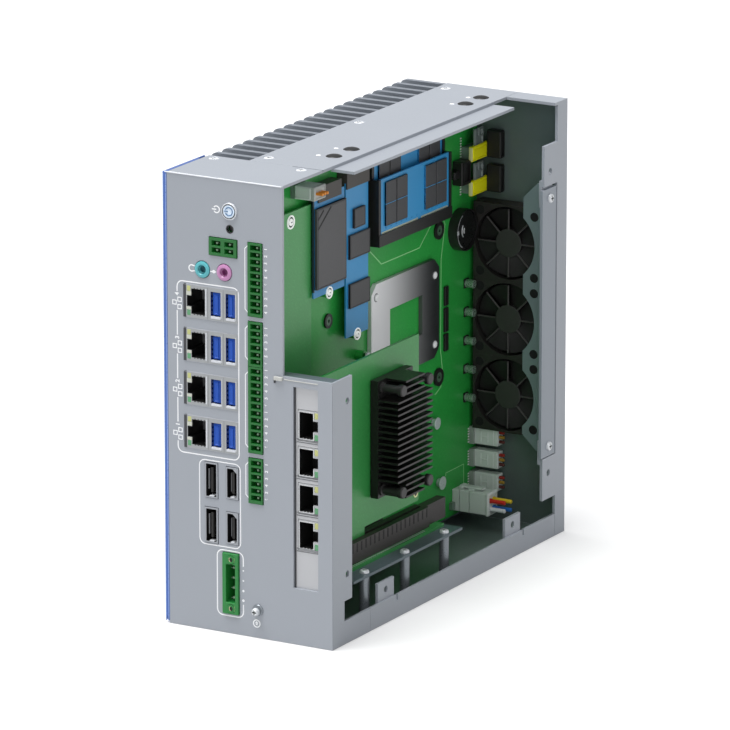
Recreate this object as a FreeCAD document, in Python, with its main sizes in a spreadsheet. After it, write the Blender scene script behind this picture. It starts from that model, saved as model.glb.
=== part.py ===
import FreeCAD, Part
import os
import re

# Industrial computer with a finned side, its side cover taken off.
# Frame: origin under the middle of the case, +X to the open side, +Y to the rear, +Z up.
# The rules below are written from the front left bottom corner of the case.

doc = FreeCAD.newDocument("industrial_computer")

# Driving sizes in millimetres
SIZES = {
    # case
    "case_w": 94, "case_d": 237, "case_h": 228, "wall": 1.5, "fit": 0.3, "seam": 0.2, "trim_proud": 1.0,
    "trim_in": 1.5, "trim_round": 4, "front_return": 39.8, "sole_return": 36.7,
    # finned side
    "fin_tall": 24.4, "fin_thick": 3.06, "fin_count": 20, "fin_start": 38.8, "fin_spare": 1.0,
    "fin_round": 3, "fin_proud": 1.0, "sink_nose": 6.8,
    # front panel, cut away above the card bay
    "bay_z": 134.3, "shelf_deep": 8, "flange_deep": 19, "flange_foot": 11.6, "flange_low": 22,
    "rail_tall": 11.8, "window_low": 28.5, "window_high": 129.7,
    # fixings of the side cover
    "cover_hole_r": 1.7, "front_hole_y": 14.6, "front_hole_low": 35.2, "front_hole_high": 122.3,
    "tab_wide": 15.8, "tab_top": 21.2, "tab_front": 46.9, "tab_hole_z": 16.6, "ear_low_from": 21.8,
    "ear_low_to": 43.9, "ear_low_hole": 35.5, "pad_hold": 3, "pad_tall": 9, "ear_high_from": 186.5,
    "ear_high_to": 207.6, "ear_high_hole": 193.7,
    # top panel
    "lip_front": 50, "plug_r": 4.0, "plug_tall": 1.0, "plug_y_a": 68, "plug_y_b": 85, "tongue_front": 30,
    "tongue_back": 52,
    # fans
    "fan_low": 71.2, "fan_size": 40, "fan_deep": 10, "fan_hole_pitch": 32, "fan_hole_r": 1.7,
    "duct_r": 19, "hub_r": 7.5, "hub_wall": 1.2, "hub_deep": 6.4, "shaft_r": 1.5, "shaft_play": 0.06,
    "blade_r": 18.0, "blade_thick": 1.1, "blade_chord": 5.2, "blade_count": 8, "strut_wide": 2.2,
    "strut_deep": 1.6, "carrier_r": 8.0, "tube_r": 3.2, "rotor_play": 0.6, "vent_slot": 1.0,
    "vent_pitch": 2.2, "bracket_low": 44.4, "bracket_high": 184.9, "bracket_thick": 1.2,
    "scallop_r": 19.9, "bracket_cut": 8,
    # boards
    "board_thick": 1.6, "board_front": 2.2, "board_low": 8, "board_high": 222, "io_rear": 60.2,
    "io_low": 64, "io_high": 204.5, "ring_high_z": 162.3, "ring_mid_z": 85.4, "ring_front_y": 81.6,
    "ring_front_z": 140.3, "ring_low_z": 29.4, "pan_z": 62.2, "foot_z": 16, "standoff_r": 3.0,
    "standoff_bore": 1.6, "standoff_long": 7.6,
    # processor
    "plate_front": 121.4, "plate_rear": 190.6, "plate_low": 97.4, "plate_high": 149.2, "plate_thick": 2.4,
    "window_y_a": 140.2, "window_y_b": 173.3, "window_z_a": 112.7, "window_z_b": 133.3,
    "plate_hole_y": 59.6, "plate_hole_z": 36.9, "cpu_size": 37.5, "cpu_tall": 4.6, "block_size": 30,
    "plate_bevel": 5,
    # port stacks: one network port over two data ports
    "port_deep": 28, "port_proud": 0.4, "port_tall": 16.1, "port_high_z": 165.2, "port_pitch": 21.9,
    "net_tall": 12.6, "net_deep": 14, "key_tall": 5.4, "data_tall": 12.2, "data_deep": 12,
    "tongue_tall": 10.4, "tongue_thick": 1.9,
    # video stacks: a large port over a small one
    "video_deep": 19, "video_tall": 18.4, "video_high_z": 76.4, "video_pitch": 22.8, "video_a_tall": 16.4,
    "video_b_tall": 14.6, "video_cavity": 9, "video_wall": 0.7,
    # sound sockets
    "sound_z": 181.7, "sound_r": 4.1, "sound_bore": 1.85, "sound_proud": 0.9, "sound_deep": 15,
    "sound_tube_r": 3.4, "sound_tall": 12.4,
    # pluggable headers on the front edge
    "switch_low": 189.7, "switch_high": 198.5, "head_proud": 0.7, "head_deep": 9, "pocket_deep": 7.6,
    "pin_side": 0.95, "head_pitch": 3.5, "pocket_tall": 2.5, "gpio_low": 161.9, "gpio_high": 198.4,
    "com_low": 93.5, "com_high": 159.2, "com_split": 136.9, "can_low": 68.1, "can_high": 90.8,
    "header_edge": 2.3, "wire_pitch": 5.8,
    # power inlet
    "inlet_low": 10.0, "inlet_high": 40.9, "inlet_proud": 1.2, "inlet_deep": 12, "inlet_well_low": 16.0,
    "inlet_well_high": 35.2, "inlet_screw_low": 12.9, "inlet_screw_high": 37.8, "insert_r": 2.1,
    "insert_bore": 1.25, "inlet_pitch": 5.08, "insert_deep": 8,
    # push buttons
    "button_z": 212.5, "cap_r": 3.15, "cap_play": 0.1, "bezel_r": 4.3, "bezel_proud": 0.6,
    "cap_proud": 1.0, "collar_r": 3.7, "collar_thick": 1.2, "housing_r": 4.8, "housing_deep": 7,
    "bezel_neck": 3.85, "reset_z": 203.6, "reset_hole_r": 1.7, "reset_r": 1.2, "reset_front": 1.9,
    "reset_long": 4.0, "reset_travel": 0.4, "reset_box": 6, "reset_box_front": 4.2, "reset_box_deep": 4.6,
    # network card
    "card_rear": 121.5, "card_low": 42.4, "card_high": 128.5, "card_front": 4, "finger_from": 42,
    "finger_to": 67.4, "bracket_side": 1.2, "bracket_over": 1.8, "bracket_sheet": 1.0,
    "jack_key_tall": 5.4, "jack_tall": 13.3, "jack_high_z": 110.75, "jack_pitch": 18.4, "jack_deep": 22,
    "jack_well": 14, "jack_side": 1.3, "jack_edge": 2.0,
    # heat sink on the card
    "cooler_front": 72.4, "cooler_long": 34.6, "cooler_low": 56, "cooler_high": 116, "cooler_base": 4.2,
    "cooler_fin": 11.4, "cooler_count": 20, "cooler_fin_thick": 1.0, "cooler_notch": 8,
    "cooler_seat": 0.6, "peg_r": 3.0, "peg_inset": 4, "peg_long": 12.6,
    # riser
    "slot_wide": 8.6, "slot_front": 38, "slot_rear": 126.4, "slot_tail": 146, "slot_tall": 10.6,
    "slot_groove": 5.6, "tail_wide": 5, "riser_z": 26.2, "riser_front": 24, "riser_rear": 136,
    "tray_front": 30, "tray_rear": 139, "tray_thick": 1.4, "post_y": 46, "post_pitch": 40, "post_r": 2.5,
    "socket_long": 6.4, "socket_front": 60, "socket_rear": 126,
    # memory
    "dimm_front": 119.4, "dimm_long": 69.6, "dimm_tall": 30, "dimm_low": 174.8, "dimm_shift": 20.6,
    "dimm_near": 8.4, "dimm_far": 4.5, "dimm_thick": 1.2, "chip_thick": 0.9, "socket_tall": 6.0,
    "arm_wide": 2.2, "arm_long": 30, "dimm_grip": 2.0,
    # small cards
    "modem_front": 59.5, "modem_wide": 30.2, "modem_low": 157, "modem_high": 207.5, "drive_front": 91.2,
    "drive_wide": 22, "drive_low": 129.7, "drive_high": 208.5, "small_lift": 4.4, "small_thick": 0.8,
    "shield_thick": 1.4, "small_socket": 8, "small_post_r": 2.6,
    "spare_y": 110.9, "spare_z": 116.2,
    # coin cell
    "coin_z": 158.6, "coin_r": 10, "coin_thick": 3.2, "holder_r": 10.9, "holder_tall": 5.4,
    "coin_seat": 1.2,
    # plugs
    "sata_long": 17.2, "sata_tall": 7.7, "sata_thick": 1.8, "sata_high": 193.9, "sata_pitch": 17.9,
    "sata_head": 5.3, "boot_long": 8.4, "boot_drop": 0.4, "boot_tall": 14.4, "latch_from": 4.2,
    "latch_to": 13.6, "latch_tall": 8.4, "plug_long": 21.4, "plug_deep": 9.4, "plug_low": 10.8,
    "plug_high": 22.2, "plug_foot": 3.2, "plug_foot_tall": 3.8, "lead_base": 2, "lead_deep": 5.8,
    "lead_long": 14.2, "lead_tall": 9.0, "lead_pitch": 12, "lead_low": 18.2, "aux_front": 46,
    "aux_deep": 11, "aux_low": 210, "aux_tall": 6.8, "aux_long": 11.5, "wire_r": 0.8, "wire_long": 10,
    "stub_long": 3.4,
    # screws
    "sheet_screw_r": 1.4, "sunk_r": 2.9, "pan_r": 2.9, "pan_tall": 1.5, "hole_play": 0.1, "screw_deep": 8,
    "ground_z": 14.4, "sunk_x": 29.4, "sunk_y_a": 50, "sunk_y_b": 138, "nose_x": 6.8,
    "return_screw_y": 35.5, "bracket_screw_low": 49.6, "bracket_screw_high": 179.7, "io_screw_y": 39.8,
    "io_screw_z": 200.2, "capacitor_r": 2.1, "capacitor_z": 67.9, "capacitor_pitch": 15.1,
    "capacitor_long": 5.1,
}

# Places given by how far in they are from the rear face
FROM_REAR = {
    "ear_front": 24.2, "ear_hole_y": 17.8, "rear_flange": 10.4, "lip_rear": 26, "rear_return": 13,
    "plug_y_c": 37.2, "plug_y_d": 21.1, "tab_rear": 60.6, "sunk_y_c": 11, "board_rear": 3.5,
    "coin_y": 22.6, "sata_front": 21.4, "boot_front": 6.4, "plug_front": 28.4, "lead_front": 9.4,
    "capacitor_y": 14.6, "ring_rear_y": 43.8, "ring_low_y": 43.7, "pan_y": 47,
}

# Places given by how far in they are from the open side
FROM_SIDE = {
    "board_x": 52, "bay_x": 27.5, "shelf_x": 32.6, "window_left": 21.9, "window_right": 8, "lip_x": 28.3,
    "lip_out": 16.5, "plug_x": 38.4, "tongue_left": 44, "tongue_right": 32, "fan_x": 27.8,
    "bracket_left": 18.2, "scallop_x": 31.5, "card_x": 22.5, "jack_left": 19.2, "jack_right": 11.6,
    "jack_key": 8.5, "riser_right": 14.4, "tray_left": 32, "tray_right": 5.5, "post_x": 8.7,
    "return_screw_x": 37.9, "ground_x": 42.1,
}

# Places given by how far they are from the main board, toward the open side
FROM_BOARD = {
    "port_left": -30.8, "port_right": -0.9, "net_left": -26.7, "net_right": -19, "key_left": -29.2,
    "data_a_left": -15.8, "data_a_right": -10.1, "data_b_left": -7.3, "data_b_right": -2,
    "video_left": -20.2, "video_a_left": -19, "video_a_right": -13.2, "video_b_left": -7,
    "video_b_right": -1.6, "line_x": -20.6, "mic_x": -8.2, "sound_left": -26.2, "switch_left": -16.6,
    "switch_right": -1, "head_left": 5.2, "head_right": 13.1, "pocket_left": 6.7, "pocket_right": 12.3,
    "pin_x": 10.1, "inlet_left": -9.7, "inlet_right": -0.7, "inlet_well_left": -7.6,
    "inlet_well_right": -2.5, "inlet_screw_x": -4.85, "inlet_pin_x": -4.5, "button_x": -5, "io_x": 3.5,
    "aux_start": 4,
}

# Positions worked out from the sizes above
RULES = {
    "fin_pitch": "(case_d - fin_spare - fin_start) / fin_count",
    "sink_face": "board_x - standoff_long",
    "sink_base": "sink_face - fin_tall",
    "roof": "case_h - wall",
    "side": "case_w - wall",
    "inner_side": "case_w - 2 * wall",
    "back": "case_d - wall",
    "fan_front": "case_d - wall - fan_deep",
    "bracket_face": "fan_front - bracket_thick",
    "board_face": "board_x + board_thick",
    "io_face": "io_x + board_thick",
    "plate_y": "(plate_front + plate_rear) / 2",
    "plate_z": "(plate_low + plate_high) / 2",
    "card_face": "card_x + board_thick",
    "jack_body": "jack_key + jack_side",
    "slot_x": "card_x + board_thick / 2",
    "riser_top": "riser_z + board_thick",
    "slot_top": "riser_top + slot_tall",
    "tray_z": "riser_z - tray_thick",
    "cooler_face": "card_face + cooler_seat",
    "cooler_root": "cooler_face + cooler_base",
    "cooler_tip": "cooler_root + cooler_fin",
    "cooler_rear": "cooler_front + cooler_long",
    "cooler_pitch": "(cooler_high - cooler_low - cooler_fin_thick) / (cooler_count - 1)",
    "dimm_rear": "dimm_front + dimm_long",
    "small_face": "board_face + small_lift",
    "cell_x": "board_face + coin_seat",
    "inlet_pin_z": "(inlet_well_low + inlet_well_high) / 2 - 1.5 * inlet_pitch",
}
for family, ending, rule in ((FROM_REAR, "_in", "case_d - "), (FROM_SIDE, "_in", "case_w - "),
                             (FROM_BOARD, "_out", "board_x + ")):
    for name, gap in family.items():
        SIZES[name + ending] = gap
        RULES[name] = rule + name + ending

STACKS = 4
FANS = 3
VENT_STEPS = 7
BLADE_TILT = 20
NODES = []


# The sheet and the way objects read it

def fill_sheet():
    sheet = doc.addObject("Spreadsheet::Sheet", "Sizes")
    for row, (alias, value) in enumerate(SIZES.items(), start=1):
        sheet.set(f"A{row}", alias)
        sheet.set(f"B{row}", str(value))
        sheet.setAlias(f"B{row}", alias)
    doc.recompute()


def spell(text):
    """Write a rule out until it names only cells of the sheet."""
    def swap(match):
        word = match.group(0)
        if word in RULES:
            return "(" + spell(RULES[word]) + ")"
        if word in SIZES:
            return "Sizes." + word
        return word
    return re.sub(r"[a-z][a-z_0-9]*", swap, str(text))


def bind(obj, prop, text):
    obj.setExpression(prop, spell(text))


def move(obj, x, y, z):
    """Place an object by its distances from the front left bottom corner."""
    bind(obj, "Placement.Base.x", f"({x}) - case_w / 2")
    bind(obj, "Placement.Base.y", f"({y}) - case_d / 2")
    bind(obj, "Placement.Base.z", z)
    return obj


TURN = {
    "x": FreeCAD.Rotation(FreeCAD.Vector(0, 1, 0), 90),
    "y": FreeCAD.Rotation(FreeCAD.Vector(1, 0, 0), -90),
    "z": FreeCAD.Rotation(),
}


# Building blocks

def box(x, y, z):
    """A block between two planes on each axis."""
    obj = doc.addObject("Part::Box", "Block")
    bind(obj, "Length", f"({x[1]}) - ({x[0]})")
    bind(obj, "Width", f"({y[1]}) - ({y[0]})")
    bind(obj, "Height", f"({z[1]}) - ({z[0]})")
    return move(obj, x[0], y[0], z[0])


def centred(x, y_mid, y_size, z_mid, z_size):
    """A block that spans x and stands centred on the other two axes."""
    return box(x, half(y_mid, y_size), half(z_mid, z_size))


def half(mid, size):
    return (f"({mid}) - ({size}) / 2", f"({mid}) + ({size}) / 2")


def rod(axis, at, span, radius):
    """A cylinder along an axis; at gives its place on the other two."""
    obj = doc.addObject("Part::Cylinder", "Rod")
    bind(obj, "Radius", radius)
    bind(obj, "Height", f"({span[1]}) - ({span[0]})")
    obj.Placement = FreeCAD.Placement(FreeCAD.Vector(), TURN[axis])
    start = {"x": (span[0], *at), "y": (at[0], span[0], at[1]), "z": (*at, span[0])}[axis]
    return move(obj, *start)


def sunk_head(x, y, top, tall, small, large):
    """A cone that opens upward, as a countersunk head does."""
    obj = doc.addObject("Part::Cone", "Head")
    bind(obj, "Radius1", small)
    bind(obj, "Radius2", large)
    bind(obj, "Height", tall)
    return move(obj, x, y, f"({top}) - ({tall})")


def fuse(*pieces):
    obj = doc.addObject("Part::MultiFuse", "Union")
    obj.Shapes = list(pieces)
    obj.Refine = True
    return obj


def cut(base, *tools):
    obj = doc.addObject("Part::Cut", "Cut")
    obj.Base = base
    obj.Tool = tools[0] if len(tools) == 1 else fuse(*tools)
    obj.Refine = True
    return obj


def common(first, second):
    obj = doc.addObject("Part::Common", "Common")
    obj.Base = first
    obj.Tool = second
    return obj


def group(*pieces):
    obj = doc.addObject("Part::Compound", "Group")
    obj.Links = list(pieces)
    return obj


def node(name, obj):
    """Give a finished sub-part its own name."""
    obj.Label = name
    NODES.append(obj)
    return obj


def corner(axis, across, along, radius, span):
    """What a rounded edge takes away: the square of its corner less the round."""
    ends = {"x": lambda a, b: box(span, a, b), "y": lambda a, b: box(a, span, b)}[axis]
    first, first_way = across
    second, second_way = along
    mid_first = f"({first}) - ({first_way}) * ({radius})"
    mid_second = f"({second}) - ({second_way}) * ({radius})"
    low = (mid_first, first) if first_way > 0 else (first, mid_first)
    high = (mid_second, second) if second_way > 0 else (second, mid_second)
    return cut(ends(low, high), rod(axis, (mid_first, mid_second), span, radius))


# Screws: a name, the axis, the place, the seat of the head and the way it points
SCREWS = {
    "nose": ("z", ("nose_x", "return_screw_y"), "case_h"),
    "return": ("z", ("return_screw_x", "return_screw_y"), "case_h"),
    "roof_a": ("z", ("sunk_x", "sunk_y_a"), "case_h"),
    "roof_b": ("z", ("sunk_x", "sunk_y_b"), "case_h"),
    "roof_c": ("z", ("sunk_x", "sunk_y_c"), "case_h"),
}
BOARD_HOLES = [
    ("ring_rear_y", "ring_high_z"), ("ring_rear_y", "ring_mid_z"), ("ring_front_y", "ring_front_z"),
    ("pan_y", "pan_z"), ("ring_low_y", "ring_low_z"), ("ring_front_y", "foot_z"),
]
LOW_HEADS = 3
PLATE_HOLES = [
    (f"plate_y {sy} plate_hole_y / 2", f"plate_z {sz} plate_hole_z / 2") for sy in "+-" for sz in "+-"
]
BRACKET_SCREWS = ["bracket_screw_low", "bracket_screw_high"]
POST_STEPS = range(3)


def sunk_hole(name, depth):
    """The countersink and the bore below it, for one screw in the roof."""
    axis, (x, y), top = SCREWS[name]
    cone = sunk_head(x, y, f"{top} + seam", "wall + seam", "sheet_screw_r + hole_play", "sunk_r + hole_play + seam")
    bore = rod("z", (x, y), (f"{top} - ({depth})", top), "sheet_screw_r + hole_play")
    return fuse(cone, bore)


def sunk_screw(name, depth):
    axis, (x, y), top = SCREWS[name]
    head = sunk_head(x, y, top, "wall", "sheet_screw_r", "sunk_r")
    shank = rod("z", (x, y), (f"{top} - ({depth})", f"{top} - wall"), "sheet_screw_r")
    return fuse(head, shank)


def pan_screw(axis, at, seat, way, depth, radius="pan_r", tall="pan_tall"):
    """A pan head on the far side of a seat, with its shank going into the part."""
    if way > 0:
        head, shank = (seat, f"({seat}) + ({tall})"), (f"({seat}) - ({depth})", seat)
    else:
        head, shank = (f"({seat}) - ({tall})", seat), (seat, f"({seat}) + ({depth})")
    return fuse(rod(axis, at, head, radius), rod(axis, at, shank, "sheet_screw_r"))


# The case

def make_heat_sink():
    """Extruded side with upright fins; its thick base carries the main board."""
    body = doc.addObject("PartDesign::Body", "FinnedSide")
    base = body.newObject("PartDesign::AdditiveBox", "SinkBase")
    bind(base, "Length", "sink_base")
    bind(base, "Width", "back - fin_start")
    bind(base, "Height", "roof - wall")
    bind(base, "Placement.Base.x", "fin_tall")
    bind(base, "Placement.Base.y", "fin_start")
    bind(base, "Placement.Base.z", "wall")
    nose = body.newObject("PartDesign::AdditiveBox", "SinkNose")
    bind(nose, "Length", "sink_face")
    bind(nose, "Width", "sink_nose")
    bind(nose, "Height", "roof - wall")
    bind(nose, "Placement.Base.y", "fin_start - sink_nose")
    bind(nose, "Placement.Base.z", "wall")
    fin = body.newObject("PartDesign::AdditiveBox", "Fin")
    bind(fin, "Length", "fin_tall + fin_proud")
    bind(fin, "Width", "fin_thick")
    bind(fin, "Height", "case_h")
    bind(fin, "Placement.Base.x", "-fin_proud")
    bind(fin, "Placement.Base.y", "fin_start + fin_pitch - fin_thick")
    doc.recompute()
    fins = body.newObject("PartDesign::LinearPattern", "Fins")
    fins.Originals = [fin]
    fins.Direction = (origin_axis(body, "Y_Axis"), [""])
    bind(fins, "Length", "(fin_count - 1) * fin_pitch")
    bind(fins, "Occurrences", "fin_count")
    body.Tip = fins
    move(body, "0", "0", "0")
    span = ("fin_start + fin_pitch / 4", "case_d")
    rounds = [corner("y", ("-fin_proud", -1), ("case_h", 1), "fin_round", span),
              corner("y", ("-fin_proud", -1), ("0", -1), "fin_round", span)]
    pilots = [rod("z", SCREWS[name][1], ("roof - screw_deep", "roof + seam"), "sheet_screw_r + hole_play")
              for name in ("nose", "roof_a", "roof_b", "roof_c")]
    posts = [rod("x", at, ("sink_face - screw_deep", "sink_face + seam"), "sheet_screw_r + hole_play")
             for at in BOARD_HOLES + PLATE_HOLES]
    node("heat_sink", cut(body, *rounds, *pilots, *posts))


def origin_axis(body, role):
    return next(item for item in body.Origin.OriginFeatures if item.Role == role)


def make_accent_trim():
    """Coloured strip down the left edge of the front."""
    slim = box(("-trim_proud", "0"), ("0", "fin_start"), ("0", "case_h"))
    thick = box(("0", "trim_in"), ("0", "fin_start - sink_nose - seam"), ("0", "case_h"))
    span = ("-trim_proud - 1", "trim_in + 1")
    foot = corner("x", ("0", -1), ("0", -1), "trim_round", span)
    node("accent_trim", cut(fuse(slim, thick), foot))


def port_z(k):
    return f"port_high_z - {k} * port_pitch"


def video_z(k):
    return f"video_high_z - {k} * video_pitch"


def jack_z(k):
    return f"jack_high_z - {k} * jack_pitch"


def fan_z(k):
    return f"fan_low + {k} * fan_size"


def make_front_panel():
    """Front sheet folded back at the top, the bottom and the right, open above the card bay."""
    through = ("-1", "wall + 1")
    sheet = cut(box(("trim_in", "case_w"), ("0", "wall"), ("0", "case_h")),
                box(("bay_x", "case_w + 1"), through, ("bay_z", "case_h + 1")))
    folds = [
        box(("trim_in", "lip_x"), ("0", "front_return"), ("roof", "case_h")),
        box(("trim_in", "case_w"), ("0", "sole_return"), ("0", "wall")),
        box(("side", "case_w"), ("0", "flange_deep"), ("flange_low", "bay_z")),
        box(("side", "case_w"), ("0", "flange_foot"), ("0", "bay_z")),
        box(("side", "case_w"), ("0", "sole_return"), ("0", "rail_tall")),
        box(("shelf_x", "case_w"), ("0", "shelf_deep"), ("bay_z - wall", "bay_z")),
    ]
    net = [box(("port_left - fit", "port_right + fit"), through, half(port_z(k), "port_tall + 2 * fit"))
           for k in range(STACKS)]
    video = [box((f"{left} - video_wall - fit", f"{right} + video_wall + fit"), through,
                 half(video_z(k), f"{tall} + 2 * video_wall + 2 * fit"))
             for k in range(2)
             for left, right, tall in (("video_a_left", "video_a_right", "video_a_tall"),
                                       ("video_b_left", "video_b_right", "video_b_tall"))]
    heads = [
        box(("switch_left - fit", "switch_right + fit"), through, ("switch_low - fit", "switch_high + fit")),
        box(("head_left - fit", "head_right + fit"), through, ("gpio_low - fit", "gpio_high + fit")),
        box(("head_left - fit", "head_right + fit"), through, ("com_low - fit", "com_high + fit")),
        box(("head_left - fit", "head_right + fit"), through, ("can_low - fit", "can_high + fit")),
        box(("inlet_left - fit", "inlet_right + fit"), through, ("inlet_low - fit", "inlet_high + fit")),
        box(("window_left", "window_right"), through, ("window_low", "window_high")),
    ]
    rounds = [
        rod("y", ("line_x", "sound_z"), through, "sound_r + fit"),
        rod("y", ("mic_x", "sound_z"), through, "sound_r + fit"),
        rod("y", ("button_x", "button_z"), through, "bezel_neck + seam"),
        rod("y", ("button_x", "reset_z"), through, "reset_hole_r"),
        rod("y", ("ground_x", "ground_z"), through, "sheet_screw_r + hole_play"),
    ]
    cover = [rod("x", ("front_hole_y", z), ("side - 1", "case_w + 1"), "cover_hole_r")
             for z in ("front_hole_low", "front_hole_high")]
    sunk = [sunk_hole("nose", "wall + seam"), sunk_hole("return", "wall + seam")]
    node("front_panel", cut(fuse(sheet, *folds), *net, *video, *heads, *rounds, *cover, *sunk))


def make_top_panel():
    """Roof sheet with a lowered lip that the side cover rests on."""
    roof = ("roof", "case_h")
    under = ("roof - wall", "roof")
    sheet = box(("fin_tall", "lip_x"), ("front_return + seam", "back"), roof)
    lip = box(("lip_x - wall", "lip_out"), ("lip_front", "lip_rear"), under)
    tongue = box(("tongue_left", "tongue_right"), ("tongue_front", "tongue_back"), under)
    plugs = [rod("z", ("plug_x", y), ("roof - 1", "case_h + 1"), "plug_r - wall / 2") for y in PLUG_ROWS]
    sunk = [sunk_hole(name, "wall + seam") for name in ("roof_a", "roof_b", "roof_c")]
    pilot = rod("z", SCREWS["return"][1], ("roof - wall - 1", "roof + 1"), "sheet_screw_r + hole_play")
    node("top_panel", cut(fuse(sheet, lip, tongue), *plugs, *sunk, pilot))


PLUG_ROWS = ["plug_y_a", "plug_y_b", "plug_y_c", "plug_y_d"]


def make_hole_plugs():
    """Rubber domes that close the aerial holes in the roof."""
    domes = []
    for y in PLUG_ROWS:
        dome = rod("z", ("plug_x", y), ("case_h", "case_h + plug_tall"), "plug_r")
        stem = rod("z", ("plug_x", y), ("roof - 1", "case_h"), "plug_r - wall / 2 - seam")
        domes.append(fuse(dome, stem))
    node("hole_plugs", group(*domes))


def make_base_panel():
    """Floor sheet with an upturned rail and two tabs for the side cover."""
    floor = fuse(box(("fin_tall", "case_w"), ("sole_return + seam", "rear_flange - seam"), ("0", "wall")),
                 box(("fin_tall", "side - seam"), ("sole_return + seam", "back"), ("0", "wall")))
    rail = box(("side", "case_w"), ("sole_return + seam", "rear_flange - seam"), ("0", "rail_tall"))
    tabs = []
    holes = []
    for y in ("tab_front", "tab_rear"):
        tabs.append(box(("inner_side", "side"), (y, f"{y} + tab_wide"), ("0", "tab_top")))
        holes.append(rod("x", (f"{y} + tab_wide / 2", "tab_hole_z"), ("inner_side - 1", "side + 1"), "cover_hole_r"))
        relief = (f"{y} + tab_wide", f"{y} + tab_wide + wall")
        holes.append(box(("side - 1", "case_w + 1"), relief, ("rail_tall - 2 * wall", "rail_tall + 1")))
    node("base_panel", cut(fuse(floor, rail, *tabs), *holes))


def make_rear_panel():
    """Rear sheet with slotted fan outlets, a side flange and ears for the cover and the fan bracket."""
    sheet = box(("fin_tall", "case_w"), ("back", "case_d"), ("0", "case_h"))
    flange = box(("side", "case_w"), ("rear_flange", "case_d"), ("0", "case_h"))
    roof = box(("lip_x + seam", "case_w"), ("rear_return", "case_d"), ("roof", "case_h"))
    ears = [box(("side", "case_w"), ("ear_front", "rear_flange + 1"), (f"ear_{k}_from", f"ear_{k}_to"))
            for k in ("low", "high")]
    pads = [
        box(("inner_side", "side"), ("ear_front", "bracket_face - seam"), ("ear_low_to - pad_hold", "bracket_low + pad_tall")),
        box(("inner_side", "side"), ("ear_front", "bracket_face - seam"), ("bracket_high - pad_tall", "ear_high_from + pad_hold")),
    ]
    cover = [rod("x", ("ear_hole_y", f"ear_{k}_hole"), ("side - 1", "case_w + 1"), "cover_hole_r")
             for k in ("low", "high")]
    pilots = [rod("x", ("ear_hole_y", z), ("inner_side - 1", "side + 1"), "sheet_screw_r + hole_play")
              for z in BRACKET_SCREWS]
    outlets = []
    for k in range(FANS):
        round_area = rod("y", ("fan_x", fan_z(k)), ("back - 1", "case_d + 1"), "duct_r - 1")
        slots = [box(half(f"fan_x + {step} * vent_pitch", "vent_slot"), ("back - 1", "case_d + 1"),
                     half(fan_z(k), "2 * duct_r")) for step in range(-VENT_STEPS, VENT_STEPS + 1)]
        outlets.append(common(round_area, fuse(*slots)))
    node("rear_panel", cut(fuse(sheet, flange, roof, *ears, *pads), *cover, *pilots, *outlets))


def fan_corner(k, sx, sz):
    return (f"fan_x {sx} fan_hole_pitch / 2", f"({fan_z(k)}) {sz} fan_hole_pitch / 2")


def make_fan_bracket():
    """Angle with scalloped edge that clamps the fans against the rear sheet."""
    flange = box(("side", "case_w"), ("ear_front - wall", "rear_flange - 0.7"), ("bracket_low", "bracket_high"))
    face = box(("bracket_left", "case_w"), ("bracket_face", "fan_front"), ("bracket_low", "bracket_high"))
    through = ("bracket_face - 1", "fan_front + 1")
    scallops = [rod("y", ("scallop_x", fan_z(k)), through, "scallop_r") for k in range(FANS)]
    holes = [rod("y", fan_corner(k, "+", sz), through, "fan_hole_r") for k in range(FANS) for sz in "+-"]
    corners = [bevel("bracket_left", "bracket_high", through, -1), bevel("bracket_left", "bracket_low", through, 1)]
    screws = [rod("x", ("ear_hole_y", z), ("side - 1", "case_w + 1"), "sheet_screw_r + hole_play")
              for z in BRACKET_SCREWS]
    node("fan_bracket", cut(fuse(flange, face), *scallops, *holes, *corners, *screws))


def bevel(x, z, span, way):
    """A square turned by 45 degrees about a corner, to cut it off."""
    obj = doc.addObject("Part::Box", "Bevel")
    bind(obj, "Length", "bracket_cut * sqrt(2)")
    bind(obj, "Width", f"({span[1]}) - ({span[0]})")
    bind(obj, "Height", "bracket_cut * sqrt(2)")
    obj.Placement = FreeCAD.Placement(FreeCAD.Vector(), FreeCAD.Rotation(FreeCAD.Vector(0, 1, 0), 45))
    return move(obj, f"{x} - bracket_cut", span[0], z)


# The fans

def make_fan_frame(k):
    """Square frame with a round duct, four struts and the tube that carries the shaft."""
    z = fan_z(k)
    block = box(half("fan_x", "fan_size"), ("fan_front", "back"), half(z, "fan_size"))
    duct = rod("y", ("fan_x", z), ("fan_front - 1", "back + 1"), "duct_r")
    holes = [rod("y", fan_corner(k, sx, sz), ("fan_front - 1", "back + 1"), "fan_hole_r") for sx in "+-" for sz in "+-"]
    rear = ("back - strut_deep", "back")
    struts = [box(half("fan_x", "2 * duct_r + 1"), rear, half(z, "strut_wide")),
              box(half("fan_x", "strut_wide"), rear, half(z, "2 * duct_r + 1"))]
    carrier = rod("y", ("fan_x", z), rear, "carrier_r")
    tube = rod("y", ("fan_x", z), ("fan_front + hub_deep - 3.4", "back"), "tube_r")
    bore = rod("y", ("fan_x", z), ("fan_front", "back - 0.6"), "shaft_r + shaft_play")
    node(f"fan_frame_{k + 1}", cut(fuse(cut(block, duct, *holes), *struts, carrier, tube), bore))


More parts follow.
